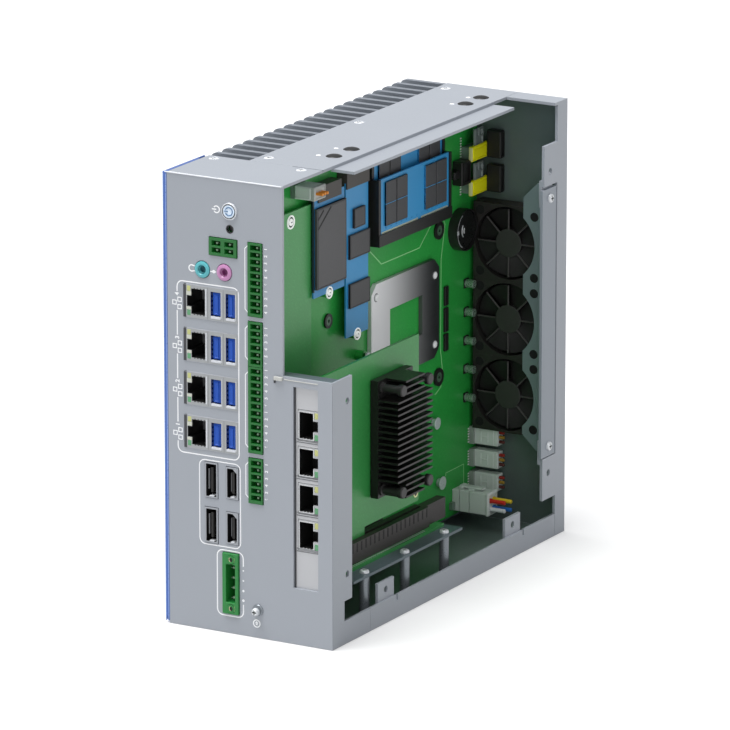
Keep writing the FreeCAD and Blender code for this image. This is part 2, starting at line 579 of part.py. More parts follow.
def make_fan_rotor(k):
    """Hub cup with eight tilted blades and the shaft that runs in the frame's tube."""
    body = doc.addObject("PartDesign::Body", f"Rotor{k + 1}")
    hub = body.newObject("PartDesign::AdditiveCylinder", f"Hub{k + 1}")
    bind(hub, "Radius", "hub_r")
    bind(hub, "Height", "hub_deep")
    well = body.newObject("PartDesign::SubtractiveCylinder", f"Well{k + 1}")
    bind(well, "Radius", "hub_r - hub_wall")
    bind(well, "Height", "hub_deep")
    bind(well, "Placement.Base.z", "hub_wall")
    shaft = body.newObject("PartDesign::AdditiveCylinder", f"Shaft{k + 1}")
    bind(shaft, "Radius", "shaft_r")
    bind(shaft, "Height", "fan_deep - rotor_play - 1.2")
    blade = body.newObject("PartDesign::AdditiveBox", f"Blade{k + 1}")
    bind(blade, "Length", "blade_r - hub_r + hub_wall / 2")
    bind(blade, "Width", "blade_thick")
    bind(blade, "Height", "blade_chord")
    blade.Placement = FreeCAD.Placement(FreeCAD.Vector(), FreeCAD.Rotation(FreeCAD.Vector(1, 0, 0), BLADE_TILT))
    bind(blade, "Placement.Base.x", "hub_r - hub_wall / 2")
    bind(blade, "Placement.Base.y", f"blade_chord * sin({BLADE_TILT}) / 2 - blade_thick / 2")
    bind(blade, "Placement.Base.z", "hub_wall / 2")
    doc.recompute()
    blades = body.newObject("PartDesign::PolarPattern", f"Blades{k + 1}")
    blades.Originals = [blade]
    blades.Axis = (origin_axis(body, "Z_Axis"), [""])
    blades.Angle = 360
    bind(blades, "Occurrences", "blade_count")
    body.Tip = blades
    body.Placement = FreeCAD.Placement(FreeCAD.Vector(), TURN["y"])
    move(body, "fan_x", "fan_front + rotor_play", fan_z(k))
    node(f"fan_rotor_{k + 1}", body)


# Sockets on the front edge of the main board

def make_port_stack(k):
    """Shielded block with a network socket on the outside and two data sockets beside the board."""
    z = port_z(k)
    block = fuse(box(("port_left", "port_right"), ("-port_proud", "port_deep"), half(z, "port_tall")),
                 box(("port_right - 1", "board_x"), ("wall + seam", "port_deep"), half(z, "port_tall")))
    wells = [
        box(("net_left", "net_right"), ("-1", "net_deep"), half(z, "net_tall")),
        box(("key_left", "net_left + 1"), ("-1", "net_deep"), half(z, "key_tall")),
        box(("data_a_left", "data_a_right"), ("-1", "data_deep"), half(z, "data_tall")),
        box(("data_b_left", "data_b_right"), ("-1", "data_deep"), half(z, "data_tall")),
    ]
    tongues = [box(half(f"({left} + {right}) / 2 + 0.7", "tongue_thick"), ("0.8", "data_deep + 1"), half(z, "tongue_tall"))
               for left, right in (("data_a_left", "data_a_right"), ("data_b_left", "data_b_right"))]
    node(f"port_stack_{k + 1}", fuse(cut(block, *wells), *tongues))


def make_video_stack(k):
    """Two shielded video sockets on one carrier, the large one outside and the small one beside the board."""
    z = video_z(k)
    carrier = box(("video_left", "board_x"), ("wall + seam", "video_deep"), half(z, "video_tall"))
    pieces = []
    wells = []
    for left, right, tall in (("video_a_left", "video_a_right", "video_a_tall"),
                              ("video_b_left", "video_b_right", "video_b_tall")):
        nose = ("-port_proud", "wall + 1")
        pieces.append(box((f"{left} - video_wall", f"{right} + video_wall"), nose, half(z, f"{tall} + 2 * video_wall")))
        wells.append(box((left, right), ("-1", "video_cavity"), half(z, tall)))
    blades = [box(half(f"({left} + {right}) / 2", "1.6"), ("0.9", "video_cavity + 1"), half(z, f"{tall} - 4"))
              for left, right, tall in (("video_a_left", "video_a_right", "video_a_tall"),
                                        ("video_b_left", "video_b_right", "video_b_tall"))]
    node(f"video_stack_{k + 1}", fuse(cut(fuse(carrier, *pieces), *wells), *blades))


def make_sound_sockets():
    """Block on the board with two coloured barrels for round plugs."""
    block = box(("sound_left", "board_x"), ("wall + seam", "sound_deep"), half("sound_z", "sound_tall"))
    seats = [rod("y", (x, "sound_z"), ("wall - 1", "sound_deep - 1"), "sound_tube_r") for x in ("line_x", "mic_x")]
    node("sound_block", cut(block, *seats))
    for name, x in (("line_out_barrel", "line_x"), ("mic_barrel", "mic_x")):
        barrel = fuse(rod("y", (x, "sound_z"), ("-sound_proud", "wall + seam"), "sound_r"),
                      rod("y", (x, "sound_z"), ("0", "sound_deep - 1"), "sound_tube_r"))
        node(name, cut(barrel, rod("y", (x, "sound_z"), ("-sound_proud - 1", "sound_deep - 2"), "sound_bore")))


def pin_rows(low, high):
    """Heights of the pins of a header, one pitch apart from its upper end."""
    count = round((SIZES[high] - SIZES[low] - 1) / SIZES["head_pitch"])
    return [f"{high} - header_edge - {k} * head_pitch" for k in range(count)]


def header_rows():
    upper = [f"com_high - header_edge - {k} * head_pitch" for k in range(6)]
    lower = [f"com_split - header_edge - {k} * head_pitch" for k in range(12)]
    return {"gpio": pin_rows("gpio_low", "gpio_high"), "com": upper + lower, "can": pin_rows("can_low", "can_high")}


def make_headers():
    """Long green headers, with one pocket for each pin, soldered to the small board."""
    pins = []
    for name, rows in header_rows().items():
        front = ("-head_proud", "head_deep")
        block = box(("head_left", "head_right"), front, (f"{name}_low", f"{name}_high"))
        foot = box(("io_face", "head_left + 1"), ("board_front + 1", "head_deep"), (f"{name}_low + 1", f"{name}_high - 1"))
        wells = [box(("pocket_left", "pocket_right"), ("-head_proud - 1", "pocket_deep"), half(z, "pocket_tall")) for z in rows]
        if name == "com":
            wells.append(box(("head_left - 1", "head_right + 1"), ("-head_proud - 1", "0"), half("com_split", "seam")))
        node(f"{name}_header", cut(fuse(block, foot), *wells))
        pins += [centred_pin("pin_x", z, "0.3", "pocket_deep") for z in rows]
    block = fuse(box(("switch_left", "switch_right"), ("-head_proud", "head_deep"), ("switch_low", "switch_high")),
                 box(("switch_right - 1", "board_x"), ("board_front", "head_deep"), ("switch_low", "switch_high")))
    wells = []
    for step_x in (-1, 1):
        for step_z in (-1, 1):
            x = f"(switch_left + switch_right) / 2 + {step_x} * wire_pitch / 2 + {step_x} * 0.7"
            z = f"(switch_low + switch_high) / 2 + {step_z} * head_pitch / 2"
            wells.append(box(half(x, "wire_pitch - 0.8"), ("-head_proud - 1", "pocket_deep"), half(z, "pocket_tall")))
            pins.append(centred_pin(x, z, "0.3", "pocket_deep"))
    node("switch_header", cut(block, *wells))
    for k in range(4):
        pins.append(centred_pin("inlet_pin_x", f"inlet_pin_z + {k} * inlet_pitch", "1.4", "pocket_deep"))
    node("header_pins", group(*pins))


def centred_pin(x, z, start, end):
    return box(half(x, "pin_side"), (start, end), half(z, "pin_side"))


def make_dc_inlet():
    """Green inlet with four pins and a threaded insert at each end for the plug's screws."""
    block = box(("inlet_left", "inlet_right"), ("-inlet_proud", "inlet_deep"), ("inlet_low", "inlet_high"))
    foot = box(("inlet_right - 1", "board_x"), ("board_front", "inlet_deep"), ("inlet_low + 1", "inlet_high - 1"))
    well = box(("inlet_well_left", "inlet_well_right"), ("-inlet_proud - 1", "pocket_deep"),
               ("inlet_well_low", "inlet_well_high"))
    ends = [("inlet_screw_x", z) for z in ("inlet_screw_low", "inlet_screw_high")]
    seats = [rod("y", at, ("-inlet_proud - 1", "insert_deep"), "insert_r") for at in ends]
    node("dc_inlet", cut(fuse(block, foot), well, *seats))
    inserts = [cut(rod("y", at, ("-inlet_proud - seam", "insert_deep"), "insert_r"),
                   rod("y", at, ("-inlet_proud - 1", "insert_deep - 1"), "insert_bore")) for at in ends]
    node("dc_inserts", group(*inserts))


def make_buttons():
    """Sprung cap in a ring, held in by a collar, and the small reset cap behind its hole."""
    at = ("button_x", "button_z")
    ring = fuse(rod("y", at, ("-bezel_proud", "0"), "bezel_r"),
                rod("y", at, ("0", "wall"), "bezel_neck"),
                rod("y", at, ("wall", "wall + housing_deep"), "housing_r"))
    wells = [rod("y", at, ("-bezel_proud - 1", "wall + 1"), "cap_r + cap_play"),
             rod("y", at, ("wall + seam", "wall + housing_deep - 1"), "collar_r + fit")]
    node("button_bezel", cut(ring, *wells))
    cap = fuse(rod("y", at, ("-cap_proud", "wall + seam + 1"), "cap_r"),
               rod("y", at, ("wall + 2 * seam", "wall + 2 * seam + collar_thick"), "collar_r"))
    node("power_button", cap)
    node("reset_button", rod("y", ("button_x", "reset_z"), ("reset_front", "reset_front + reset_long"), "reset_r"))


# Boards and what is soldered to them

def make_main_board():
    """Upright board with its soldered sockets, seen from its back in the open side."""
    lift = ("board_face", "board_face + sata_head")
    board = box(("board_x", "board_face"), ("board_front", "board_rear"), ("board_low", "board_high"))
    reset = cut(box(("button_x - reset_box / 2", "board_x"), ("reset_box_front", "reset_box_front + reset_box_deep"),
                    half("reset_z", "reset_box")),
                rod("y", ("button_x", "reset_z"), ("reset_box_front - 1", "reset_front + reset_long + reset_travel + 0.2"),
                    "reset_r + cap_play"))
    sockets = [
        box(("board_face", "small_face + 1.6"), ("modem_front + 4", "modem_front + modem_wide - 4"),
            ("modem_high - 3", "modem_high + small_socket - 3")),
        box(("board_face", "small_face + 1.6"), ("drive_front", "drive_front + drive_wide"),
            ("drive_high - 3", "drive_high + small_socket - 3")),
        box(("board_face", "board_face + socket_long"), ("socket_front", "socket_rear"), ("riser_z - 2", "riser_top + 2")),
        box(("board_face", "board_face + lead_base"), ("plug_front - plug_foot", "plug_front"),
            ("plug_low + 1", "plug_low + 1 + plug_foot_tall")),
        box(("board_face", "aux_start"), ("aux_front", "aux_front + aux_deep"), ("aux_low", "aux_low + aux_tall")),
    ]
    sockets += [box(lift, ("sata_front + wall", "sata_front + sata_long - 2 * wall"),
                    (f"{sata_z(k)} + 0.8", f"{sata_z(k)} + sata_tall - 0.8")) for k in range(2)]
    sockets += [box(("board_face", "board_face + lead_base"), ("lead_front - 0.5", "lead_front + lead_deep"),
                    (lead_z(k), f"({lead_z(k)}) + lead_tall")) for k in range(3)]
    sockets += [rod("x", ("capacitor_y", f"capacitor_z + {k} * capacitor_pitch"),
                    ("board_face", "board_face + capacitor_long"), "capacitor_r") for k in range(5)]
    posts = [rod("x", at, ("board_face", "small_face"), "small_post_r") for at in SMALL_POSTS + [SPARE_POST]]
    cuts = [small_slot("modem_front", "modem_wide", "modem_high"), small_slot("drive_front", "drive_wide", "drive_high")]
    holes = [rod("x", at, ("board_x - 1", "board_face + 1"), "sheet_screw_r + hole_play")
             for at in BOARD_HOLES + PLATE_HOLES]
    taps = [rod("x", at, ("board_face + 1", "small_face + 1"), "sheet_screw_r + hole_play")
            for at in SMALL_POSTS + [SPARE_POST]]
    node("main_board", cut(fuse(board, reset, *sockets, *posts), *cuts, *holes, *taps))


SMALL_POSTS = [("modem_front + modem_wide / 2", "modem_low"), ("drive_front + drive_wide / 2", "drive_low")]
SPARE_POST = ("spare_y", "spare_z")


def small_slot(front, wide, high):
    """The mouth of a card socket."""
    return box(("small_face", "small_face + small_thick"), (front, f"{front} + {wide}"), (f"{high} - 4", high))


def sata_z(k):
    return f"sata_high - {k} * sata_pitch"


def lead_z(k):
    return f"lead_low + {k} * lead_pitch"


def make_io_board():
    """Small board that carries the long headers, held off the main board by two spacers."""
    board = box(("io_x", "io_face"), ("board_front", "io_rear"), ("io_low", "io_high"))
    hole = rod("x", ("io_screw_y", "io_screw_z"), ("board_face - 1", "io_face + 1"), "sheet_screw_r + hole_play")
    spacers = [box(("board_face", "io_x"), ("board_front + 16", "io_rear - 6"), (f"{z}", f"({z}) + 6"))
               for z in ("io_low + 8", "io_high - 8")]
    node("io_board", cut(fuse(board, *spacers), hole))


def make_processor():
    plate = box(("board_face", "board_face + plate_thick"), ("plate_front", "plate_rear"), ("plate_low", "plate_high"))
    window = box(("board_face - 1", "board_face + plate_thick + 1"), ("window_y_a", "window_y_b"), ("window_z_a", "window_z_b"))
    holes = [rod("x", at, ("board_face - 1", "board_face + plate_thick + 1"), "sheet_screw_r + hole_play")
             for at in PLATE_HOLES]
    bevels = [plate_corner(y, z) for y in ("plate_front", "plate_rear") for z in ("plate_low", "plate_high")]
    node("cpu_backplate", cut(plate, window, *holes, *bevels))
    node("cpu", centred(("board_x - cpu_tall", "board_x"), "plate_y", "cpu_size", "plate_z", "cpu_size"))
    node("thermal_block", centred(("sink_face", "board_x - cpu_tall"), "plate_y", "block_size", "plate_z", "block_size"))


def plate_corner(y, z):
    """A block turned by 45 degrees that bevels one corner of the processor's backplate."""
    obj = doc.addObject("Part::Box", "Bevel")
    bind(obj, "Length", "plate_thick + 2")
    bind(obj, "Width", "plate_bevel * sqrt(2)")
    bind(obj, "Height", "plate_bevel * sqrt(2)")
    obj.Placement = FreeCAD.Placement(FreeCAD.Vector(), FreeCAD.Rotation(FreeCAD.Vector(1, 0, 0), 45))
    return move(obj, "board_face - 1", y, f"{z} - plate_bevel")


def make_standoffs():
    """Spacers between the finned side and the main board, and the posts under the riser."""
    tubes = [cut(rod("x", at, ("sink_face", "board_x"), "standoff_r"),
                 rod("x", at, ("sink_face - 1", "board_x + 1"), "standoff_bore")) for at in BOARD_HOLES + PLATE_HOLES]
    posts = [cut(rod("z", post_at(k), ("wall", "tray_z"), "post_r"),
                 rod("z", post_at(k), ("tray_z - screw_deep", "tray_z + 1"), "standoff_bore")) for k in POST_STEPS]
    node("standoffs", group(*tubes, *posts))


def post_at(k):
    return ("post_x", f"post_y + {k} * post_pitch")


# The card bay

def make_network_card():
    jacks = []
    holes = []
    for k in range(STACKS):
        z = jack_z(k)
        jacks.append(box(("jack_left", "jack_right"), ("-1", "jack_well"), half(z, "jack_tall")))
        jacks.append(box(("jack_right - 1", "jack_key"), ("-1", "jack_well"), half(z, "jack_key_tall")))
        holes.append(box(("jack_left - 1", "jack_body + seam"), ("wall - 1", "wall + bracket_sheet + 1"),
                         half(z, "jack_tall + 2.4")))
    low = f"{jack_z(STACKS - 1)} - jack_tall / 2 - jack_edge"
    high = "jack_high_z + jack_tall / 2 + jack_edge"
    block = box(("card_face", "jack_body"), ("wall + bracket_sheet", "jack_deep"), (low, high))
    noses = [box(("jack_left - 0.8", "jack_body"), ("wall + seam", "wall + bracket_sheet + 1"),
                 half(jack_z(k), "jack_tall + 2")) for k in range(STACKS)]
    node("nic_jack_block", cut(fuse(block, *noses), *jacks))
    sheet = box(("window_left - bracket_side", "window_right + bracket_over"), ("wall", "wall + bracket_sheet"),
                ("window_low - 2", "window_high + 2"))
    node("nic_bracket", cut(sheet, *holes))
    board = box(("card_x", "card_face"), ("card_front", "card_rear"), ("card_low", "card_high"))
    fingers = box(("card_x", "card_face"), ("finger_from", "finger_to"), ("slot_top - slot_groove + seam", "card_low + 1"))
    pegs = [rod("x", at, ("card_x - 1", "card_face + 1"), "sheet_screw_r") for at in PEGS]
    node("nic_board", cut(fuse(board, fingers), *pegs))


PEGS = [(y, z) for y in ("cooler_front + peg_inset", "cooler_rear - peg_inset")
        for z in ("cooler_low + peg_inset", "cooler_high - peg_inset")]


def make_card_cooler():
    """Black heat sink with flat fins, its four corners notched for sprung pegs."""
    base = box(("cooler_face", "cooler_root"), ("cooler_front", "cooler_rear"), ("cooler_low", "cooler_high"))
    pad = centred(("card_face", "cooler_face"), "(cooler_front + cooler_rear) / 2", "20", "(cooler_low + cooler_high) / 2", "20")
    fins = [box(("cooler_root", "cooler_tip"), ("cooler_front", "cooler_rear"),
                (f"cooler_low + {k} * cooler_pitch", f"cooler_low + {k} * cooler_pitch + cooler_fin_thick"))
            for k in range(SIZES["cooler_count"])]
    notches = [box(("cooler_root", "cooler_tip + 1"), (y0, y1), (z0, z1))
               for y0, y1 in (("cooler_front - 1", "cooler_front + cooler_notch"),
                              ("cooler_rear - cooler_notch", "cooler_rear + 1"))
               for z0, z1 in (("cooler_low - 1", "cooler_low + cooler_notch"),
                              ("cooler_high - cooler_notch", "cooler_high + 1"))]
    bores = [rod("x", at, ("cooler_face - 1", "cooler_root + 1"), "sheet_screw_r + hole_play") for at in PEGS]
    node("nic_heat_sink", cut(fuse(base, pad, *fins), *notches, *bores))
    pegs = [fuse(rod("x", at, ("cooler_root", "cooler_root + peg_long"), "peg_r"),
                 rod("x", at, ("card_x", "cooler_root"), "sheet_screw_r")) for at in PEGS]
    node("nic_push_pins", group(*pegs))


def make_riser():
    """Flat board with an upright slot, on a tray that stands on three posts."""
    slot = cut(box(half("slot_x", "slot_wide"), ("slot_front", "slot_rear"), ("riser_top", "slot_top")),
               box(half("slot_x", "board_thick + seam"), ("slot_front + 2", "slot_rear - 2"),
                   ("slot_top - slot_groove", "slot_top + 1")))
    tail = box(half("slot_x", "tail_wide"), ("slot_rear", "slot_tail"), ("riser_top", "slot_top"))
    node("pcie_slot", fuse(slot, tail))
    node("riser_board", box(("board_face + socket_long", "riser_right"), ("riser_front", "riser_rear"),
                            ("riser_z", "riser_top")))
    tray = box(("tray_left", "tray_right"), ("tray_front", "tray_rear"), ("tray_z", "riser_z"))
    holes = [rod("z", post_at(k), ("tray_z - 1", "riser_z + 1"), "sheet_screw_r + hole_play") for k in POST_STEPS]
    node("riser_plate", cut(tray, *holes))


# Memory and small cards

def make_memory(k, lift, shift, ends, arm_foot):
    """A memory card in its socket, with a latch arm on the board at either end."""
    low = f"dimm_low + {shift} * dimm_shift"
    face = f"board_face + {lift} - dimm_thick"
    socket = box(("board_face", f"board_face + {lift} + 1"), (f"dimm_front - ({ends})", f"dimm_rear + ({ends})"),
                 (f"{low} - socket_tall + dimm_grip", f"{low} + dimm_grip"))
    arms = [box(("board_face", f"board_face + {lift} + 0.6"), span, (arm_foot, f"{low} + arm_long"))
            for span in (("dimm_front - arm_wide", "dimm_front"), ("dimm_rear", "dimm_rear + arm_wide"))]
    mouth = box((face, f"{face} + dimm_thick"), ("dimm_front", "dimm_rear"), (low, f"{low} + dimm_grip + 1"))
    node(f"sodimm_socket_{k}", cut(fuse(socket, *arms), mouth))
    card = box((face, f"{face} + dimm_thick"), ("dimm_front", "dimm_rear"), (low, f"{low} + dimm_tall"))
    chips = []
    for start in ("dimm_front + 4.6", "dimm_front + 44.6"):
        for step in range(2):
            chips.append(box((f"{face} + dimm_thick", f"{face} + dimm_thick + chip_thick"),
                             (f"{start} + {step} * 11.6", f"{start} + {step} * 11.6 + 10"),
                             (f"{low} + 5.6", f"{low} + dimm_tall - 2")))
    node(f"sodimm_{k}", fuse(card, *chips))


def small_card(name, front, wide, low, high, chips):
    """A small plug-in card with a half-round notch for its screw."""
    board = box(("small_face", "small_face + small_thick"), (front, f"{front} + {wide}"), (low, high))
    notch = rod("x", (f"{front} + {wide} / 2", low), ("small_face - 1", "small_face + small_thick + 1"),
                "sheet_screw_r + hole_play")
    parts = [box(("small_face + small_thick", "small_face + small_thick + shield_thick"),
                 (f"{front} + {y0}", f"{front} + {y1}"), (f"{low} + {z0}", f"{low} + {z1}")) for y0, y1, z0, z1 in chips]
    node(name, fuse(cut(board, notch), *parts))


def make_coin_cell():
    """Round holder on the board with the cell seated in it."""
    at = ("coin_y", "coin_z")
    well = rod("x", at, ("cell_x", "board_face + holder_tall + 1"), "coin_r + fit")
    node("coin_cell_holder", cut(rod("x", at, ("board_face", "board_face + holder_tall"), "holder_r"), well))
    node("coin_cell", rod("x", at, ("cell_x", "cell_x + coin_thick"), "coin_r"))


# Plugs with short cut leads

def make_plugs():
    for k in range(2):
        low = sata_z(k)
        face = "board_face + sata_head"
        out = f"{face} + sata_thick"
        plug = box((face, out), ("sata_front", "sata_front + sata_long"), (low, f"{low} + sata_tall"))
        latch = box((face, f"{face} + sata_thick / 2"), ("sata_front + latch_from", "sata_front + latch_to"),
                    (f"{low} + sata_tall - 1", f"{low} + sata_tall + latch_tall"))
        boot = box((out, f"{out} + boot_long"), ("boot_front", "back - fit"),
                   (f"{low} - boot_drop", f"{low} - boot_drop + boot_tall"))
        node(f"sata_plug_{k + 1}", fuse(plug, latch, boot))
    end = "board_face + plug_long"
    body = box(("board_face", end), ("plug_front", "plug_front + plug_deep"), ("plug_low", "plug_high"))
    rim = box((f"{end} - 1", end), ("plug_front - 0.6", "plug_front + plug_deep"), ("plug_low - 1", "plug_high"))
    wires = [rod("x", (f"plug_front + {y}", f"plug_low + {z}"), (end, f"{end} + wire_long"), "wire_r + 0.3")
             for y in (2.6, 6.4) for z in (3.0, 7.4)]
    node("power_plug", fuse(body, rim, *wires))
    leads = []
    for k in range(3):
        z = lead_z(k)
        start = "board_face + lead_base"
        shell = box((start, f"{start} + lead_long"), ("lead_front", "lead_front + lead_deep"), (z, f"({z}) + lead_tall"))
        stubs = [rod("x", ("lead_front + lead_deep / 2", f"({z}) + {2 + 2.5 * step}"),
                     (f"{start} + lead_long", f"{start} + lead_long + stub_long"), "wire_r")
                 for step in range(3)]
        leads.append(fuse(shell, *stubs))
    shell = box(("aux_start", "aux_start + aux_long"), ("aux_front", "aux_front + aux_deep"), ("aux_low", "aux_low + aux_tall"))
    stubs = [rod("x", (f"aux_front + {2.4 + 2.4 * step}", "aux_low + aux_tall / 2"),
                 ("aux_start + aux_long", "aux_start + aux_long + stub_long"), "wire_r") for step in range(3)]
    leads.append(fuse(shell, *stubs))
    node("lead_plugs", group(*leads))


def make_screws():
    solids = [sunk_screw("nose", "screw_deep"), sunk_screw("return", "3 * wall")]
    solids += [sunk_screw(name, "screw_deep") for name in ("roof_a", "roof_b", "roof_c")]
    solids += [pan_screw("x", ("ear_hole_y", z), "case_w", 1, "2 * wall + 2") for z in BRACKET_SCREWS]
    for k, at in enumerate(BOARD_HOLES):
        tall = "pan_tall / 3" if k < LOW_HEADS else "pan_tall"
        solids.append(pan_screw("x", at, "board_face", 1, "board_face - sink_face + screw_deep - 2", tall=tall))
    solids += [pan_screw("x", at, "board_face + plate_thick", 1, "board_face + plate_thick - sink_face + screw_deep - 2")
               for at in PLATE_HOLES]
    solids += [pan_screw("x", at, "small_face + small_thick", 1, "3", tall="1") for at in SMALL_POSTS]
    solids.append(pan_screw("x", ("io_screw_y", "io_screw_z"), "io_face", 1, "board_thick + 1"))
    solids += [pan_screw("z", post_at(k), "riser_z", 1, "tray_thick + screw_deep - 2") for k in POST_STEPS]
    solids.append(pan_screw("y", ("ground_x", "ground_z"), "0", -1, "wall + 4", tall="3"))
    node("screws", group(*solids))


def check_objects():
    """Stop before writing when anything in the document has failed."""
    for obj in doc.Objects:
        if "Invalid" in obj.State or "Error" in obj.State:
            raise RuntimeError(f"{obj.Label} failed: {obj.State}")
    for obj in NODES:
        if obj.Shape.isNull() or not obj.Shape.isValid():
            raise RuntimeError(f"{obj.Label} has no valid shape")


def main():
    fill_sheet()
    make_heat_sink()
    make_accent_trim()
    make_front_panel()
    make_top_panel()
    make_hole_plugs()
    make_base_panel()
    make_rear_panel()
    make_fan_bracket()
    for k in range(FANS):
        make_fan_frame(k)
        make_fan_rotor(k)
    for k in range(STACKS):
        make_port_stack(k)
    for k in range(2):
        make_video_stack(k)
    make_sound_sockets()
    make_headers()
    make_dc_inlet()
    make_buttons()
    make_main_board()
    make_io_board()
    make_processor()
    make_standoffs()
    make_network_card()
    make_card_cooler()
    make_riser()
    make_memory(1, "dimm_near", 0, "arm_wide", "dimm_low")
    make_memory(2, "dimm_far", 1, "-seam", "dimm_low + arm_long + seam")
    small_card("m2_modem", "modem_front", "modem_wide", "modem_low", "modem_high", [(2.4, 29.4, 4.2, 45)])
    small_card("m2_ssd", "drive_front", "drive_wide", "drive_low", "drive_high",
               [(2, 21.6, 14.8, 27.1), (2, 21.6, 39.8, 52), (6.3, 17, 54.8, 64.6)])
    make_coin_cell()
    make_plugs()
    make_screws()
    doc.recompute()
    check_objects()
    os.makedirs("parts", exist_ok=True)
    for obj in NODES:
        obj.Shape.exportStep(f"parts/{obj.Label}.step")
        print(obj.Label, len(obj.Shape.Solids), round(obj.Shape.Volume, 1))


main()
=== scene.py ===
"""Industrial computer on a white stage, its side cover off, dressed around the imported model."""
import math

import bpy
from bpy.props import FloatProperty, FloatVectorProperty, IntProperty, PointerProperty
from mathutils import Matrix, Vector


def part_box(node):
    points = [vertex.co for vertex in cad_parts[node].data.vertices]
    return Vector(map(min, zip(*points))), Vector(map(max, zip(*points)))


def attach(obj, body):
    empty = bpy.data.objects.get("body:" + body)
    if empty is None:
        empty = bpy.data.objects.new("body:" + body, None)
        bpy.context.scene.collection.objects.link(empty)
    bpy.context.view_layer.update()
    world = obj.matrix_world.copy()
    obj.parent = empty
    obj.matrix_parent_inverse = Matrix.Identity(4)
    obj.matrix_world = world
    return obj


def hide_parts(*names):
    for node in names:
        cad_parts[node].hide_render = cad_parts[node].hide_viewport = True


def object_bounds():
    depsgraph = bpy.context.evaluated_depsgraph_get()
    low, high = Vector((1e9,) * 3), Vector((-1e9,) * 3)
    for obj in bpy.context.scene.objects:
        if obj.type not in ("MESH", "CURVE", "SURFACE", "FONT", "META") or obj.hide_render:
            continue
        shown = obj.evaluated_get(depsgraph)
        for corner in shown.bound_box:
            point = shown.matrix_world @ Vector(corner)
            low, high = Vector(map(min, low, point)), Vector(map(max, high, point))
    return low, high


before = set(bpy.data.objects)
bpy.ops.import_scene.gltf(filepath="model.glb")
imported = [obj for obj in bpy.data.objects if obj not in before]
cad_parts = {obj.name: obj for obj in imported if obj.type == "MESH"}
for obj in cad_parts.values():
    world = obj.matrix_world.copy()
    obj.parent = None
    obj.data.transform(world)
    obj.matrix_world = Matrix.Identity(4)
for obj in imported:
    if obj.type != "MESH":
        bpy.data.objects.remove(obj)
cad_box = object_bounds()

bl_info = {
    "name": "Open industrial computer",
    "version": (1, 0, 0),
    "blender": (4, 5, 0),
    "location": "View3D > Sidebar > Computer",
    "description": "Dresses the sheets, boards, sockets, fans and plugs of an open industrial computer",
    "category": "Add Mesh",
}

MM = 0.001
CASE_WIDE = 94.0
CASE_DEEP = 237.0
CASE_TALL = 228.0
MARK = "computer_scene"

# Places that repeat, in millimetres from the front left bottom corner of the case
PORT_ROWS = [165.2 - 21.9 * k for k in range(4)]
VIDEO_ROWS = [76.4 - 22.8 * k for k in range(2)]
JACK_ROWS = [110.75 - 18.4 * k for k in range(4)]
FAN_ROWS = [71.2 + 40.0 * k for k in range(3)]
FAN_X = 66.2
BOARD = 43.6
RINGS = [(193.2, 162.3), (193.2, 85.4), (81.6, 140.3)]


def tint(code):
    """A linear colour from its six-figure screen code."""
    parts = [int(code[k:k + 2], 16) / 255 for k in (0, 2, 4)]
    return tuple(c / 12.92 if c <= 0.04045 else ((c + 0.055) / 1.055) ** 2.4 for c in parts)


def colour_prop(label, text, code):
    return FloatVectorProperty(name=label, description=text, subtype="COLOR", size=3, min=0, max=1,
                               default=tint(code))


def length_prop(label, text, value):
    return FloatProperty(name=label, description=text, default=value * MM, min=0, unit="LENGTH", precision=5)


class ComputerSizes(bpy.types.PropertyGroup):
    """Sizes of the dressed pieces that a user may change"""
    sheet_edge: length_prop("Sheet edge", "Rounding of the folded sheets' edges", 0.35)
    fin_edge: length_prop("Fin edge", "Rounding along the cooling fins", 0.45)
    print_width: length_prop("Print width", "Width of the printed lines on the front", 0.62)
    print_lift: length_prop("Print lift", "Height of the ink above the front", 0.06)
    digit_size: length_prop("Digit size", "Height of the row numbers", 3.1)
    pin_digit: length_prop("Pin digit size", "Height of the small numbers beside the headers", 2.3)
    trace_width: length_prop("Trace width", "Width of the raised lines on the main board", 0.5)
    recess: length_prop("Recess depth", "Depth of the cross in each screw head", 0.7)
    wire_radius: length_prop("Wire radius", "Radius of the coloured leads of the big plug", 1.1)
    blade_twist: FloatProperty(name="Blade twist", description="Twist of a fan blade from root to tip",
                               default=math.radians(3), subtype="ANGLE")
    blade_count: IntProperty(name="Blades", description="Number of blades on each fan", default=8, min=3, max=12)


class ComputerColours(bpy.types.PropertyGroup):
    """Colours of the finishes that a user may change"""
    panel: colour_prop("Panel paint", "Grey paint of the case sheets", "9EA3AB")
    # The inner faces' grey-green is painted shade, with a painted reflection of the green boards in it.
    inside: colour_prop("Inner metal", "Dark shine of the case's inner faces", "6A7875")
    trim: colour_prop("Trim", "Blue strip down the front edge", "4E70BC")
    fins: colour_prop("Fins", "Paint of the finned side", "868C95")
    board: colour_prop("Main board", "Solder mask of the main board", "289E40")
    card: colour_prop("Card board", "Solder mask of the small boards", "459A55")
    module: colour_prop("Modules", "Blue mask of the memory and the small cards", "3090C8")
    chip: colour_prop("Chips", "Moulded chips and card shields", "434345")
    fan: colour_prop("Fans", "Black plastic of the fans", "262422")
    header: colour_prop("Headers", "Green plastic of the pluggable headers", "1A6A2C")
    data: colour_prop("Data sockets", "Blue plastic of the data sockets", "0A4CB0")
    line_out: colour_prop("Line out", "Barrel of the line out socket", "58B2BA")
    microphone: colour_prop("Microphone", "Barrel of the microphone socket", "C086B4")
    collar: colour_prop("Drive plug", "Yellow plug of the drive leads", "F2EE10")
    plug: colour_prop("Lead plugs", "Grey plastic of the lead plugs", "D6DED9")
    ink: colour_prop("Ink", "Printing on the front", "F2F3F5")
    glow: colour_prop("Power light", "Lit cap of the power button", "DAEAFB")


# Ways of making a finish

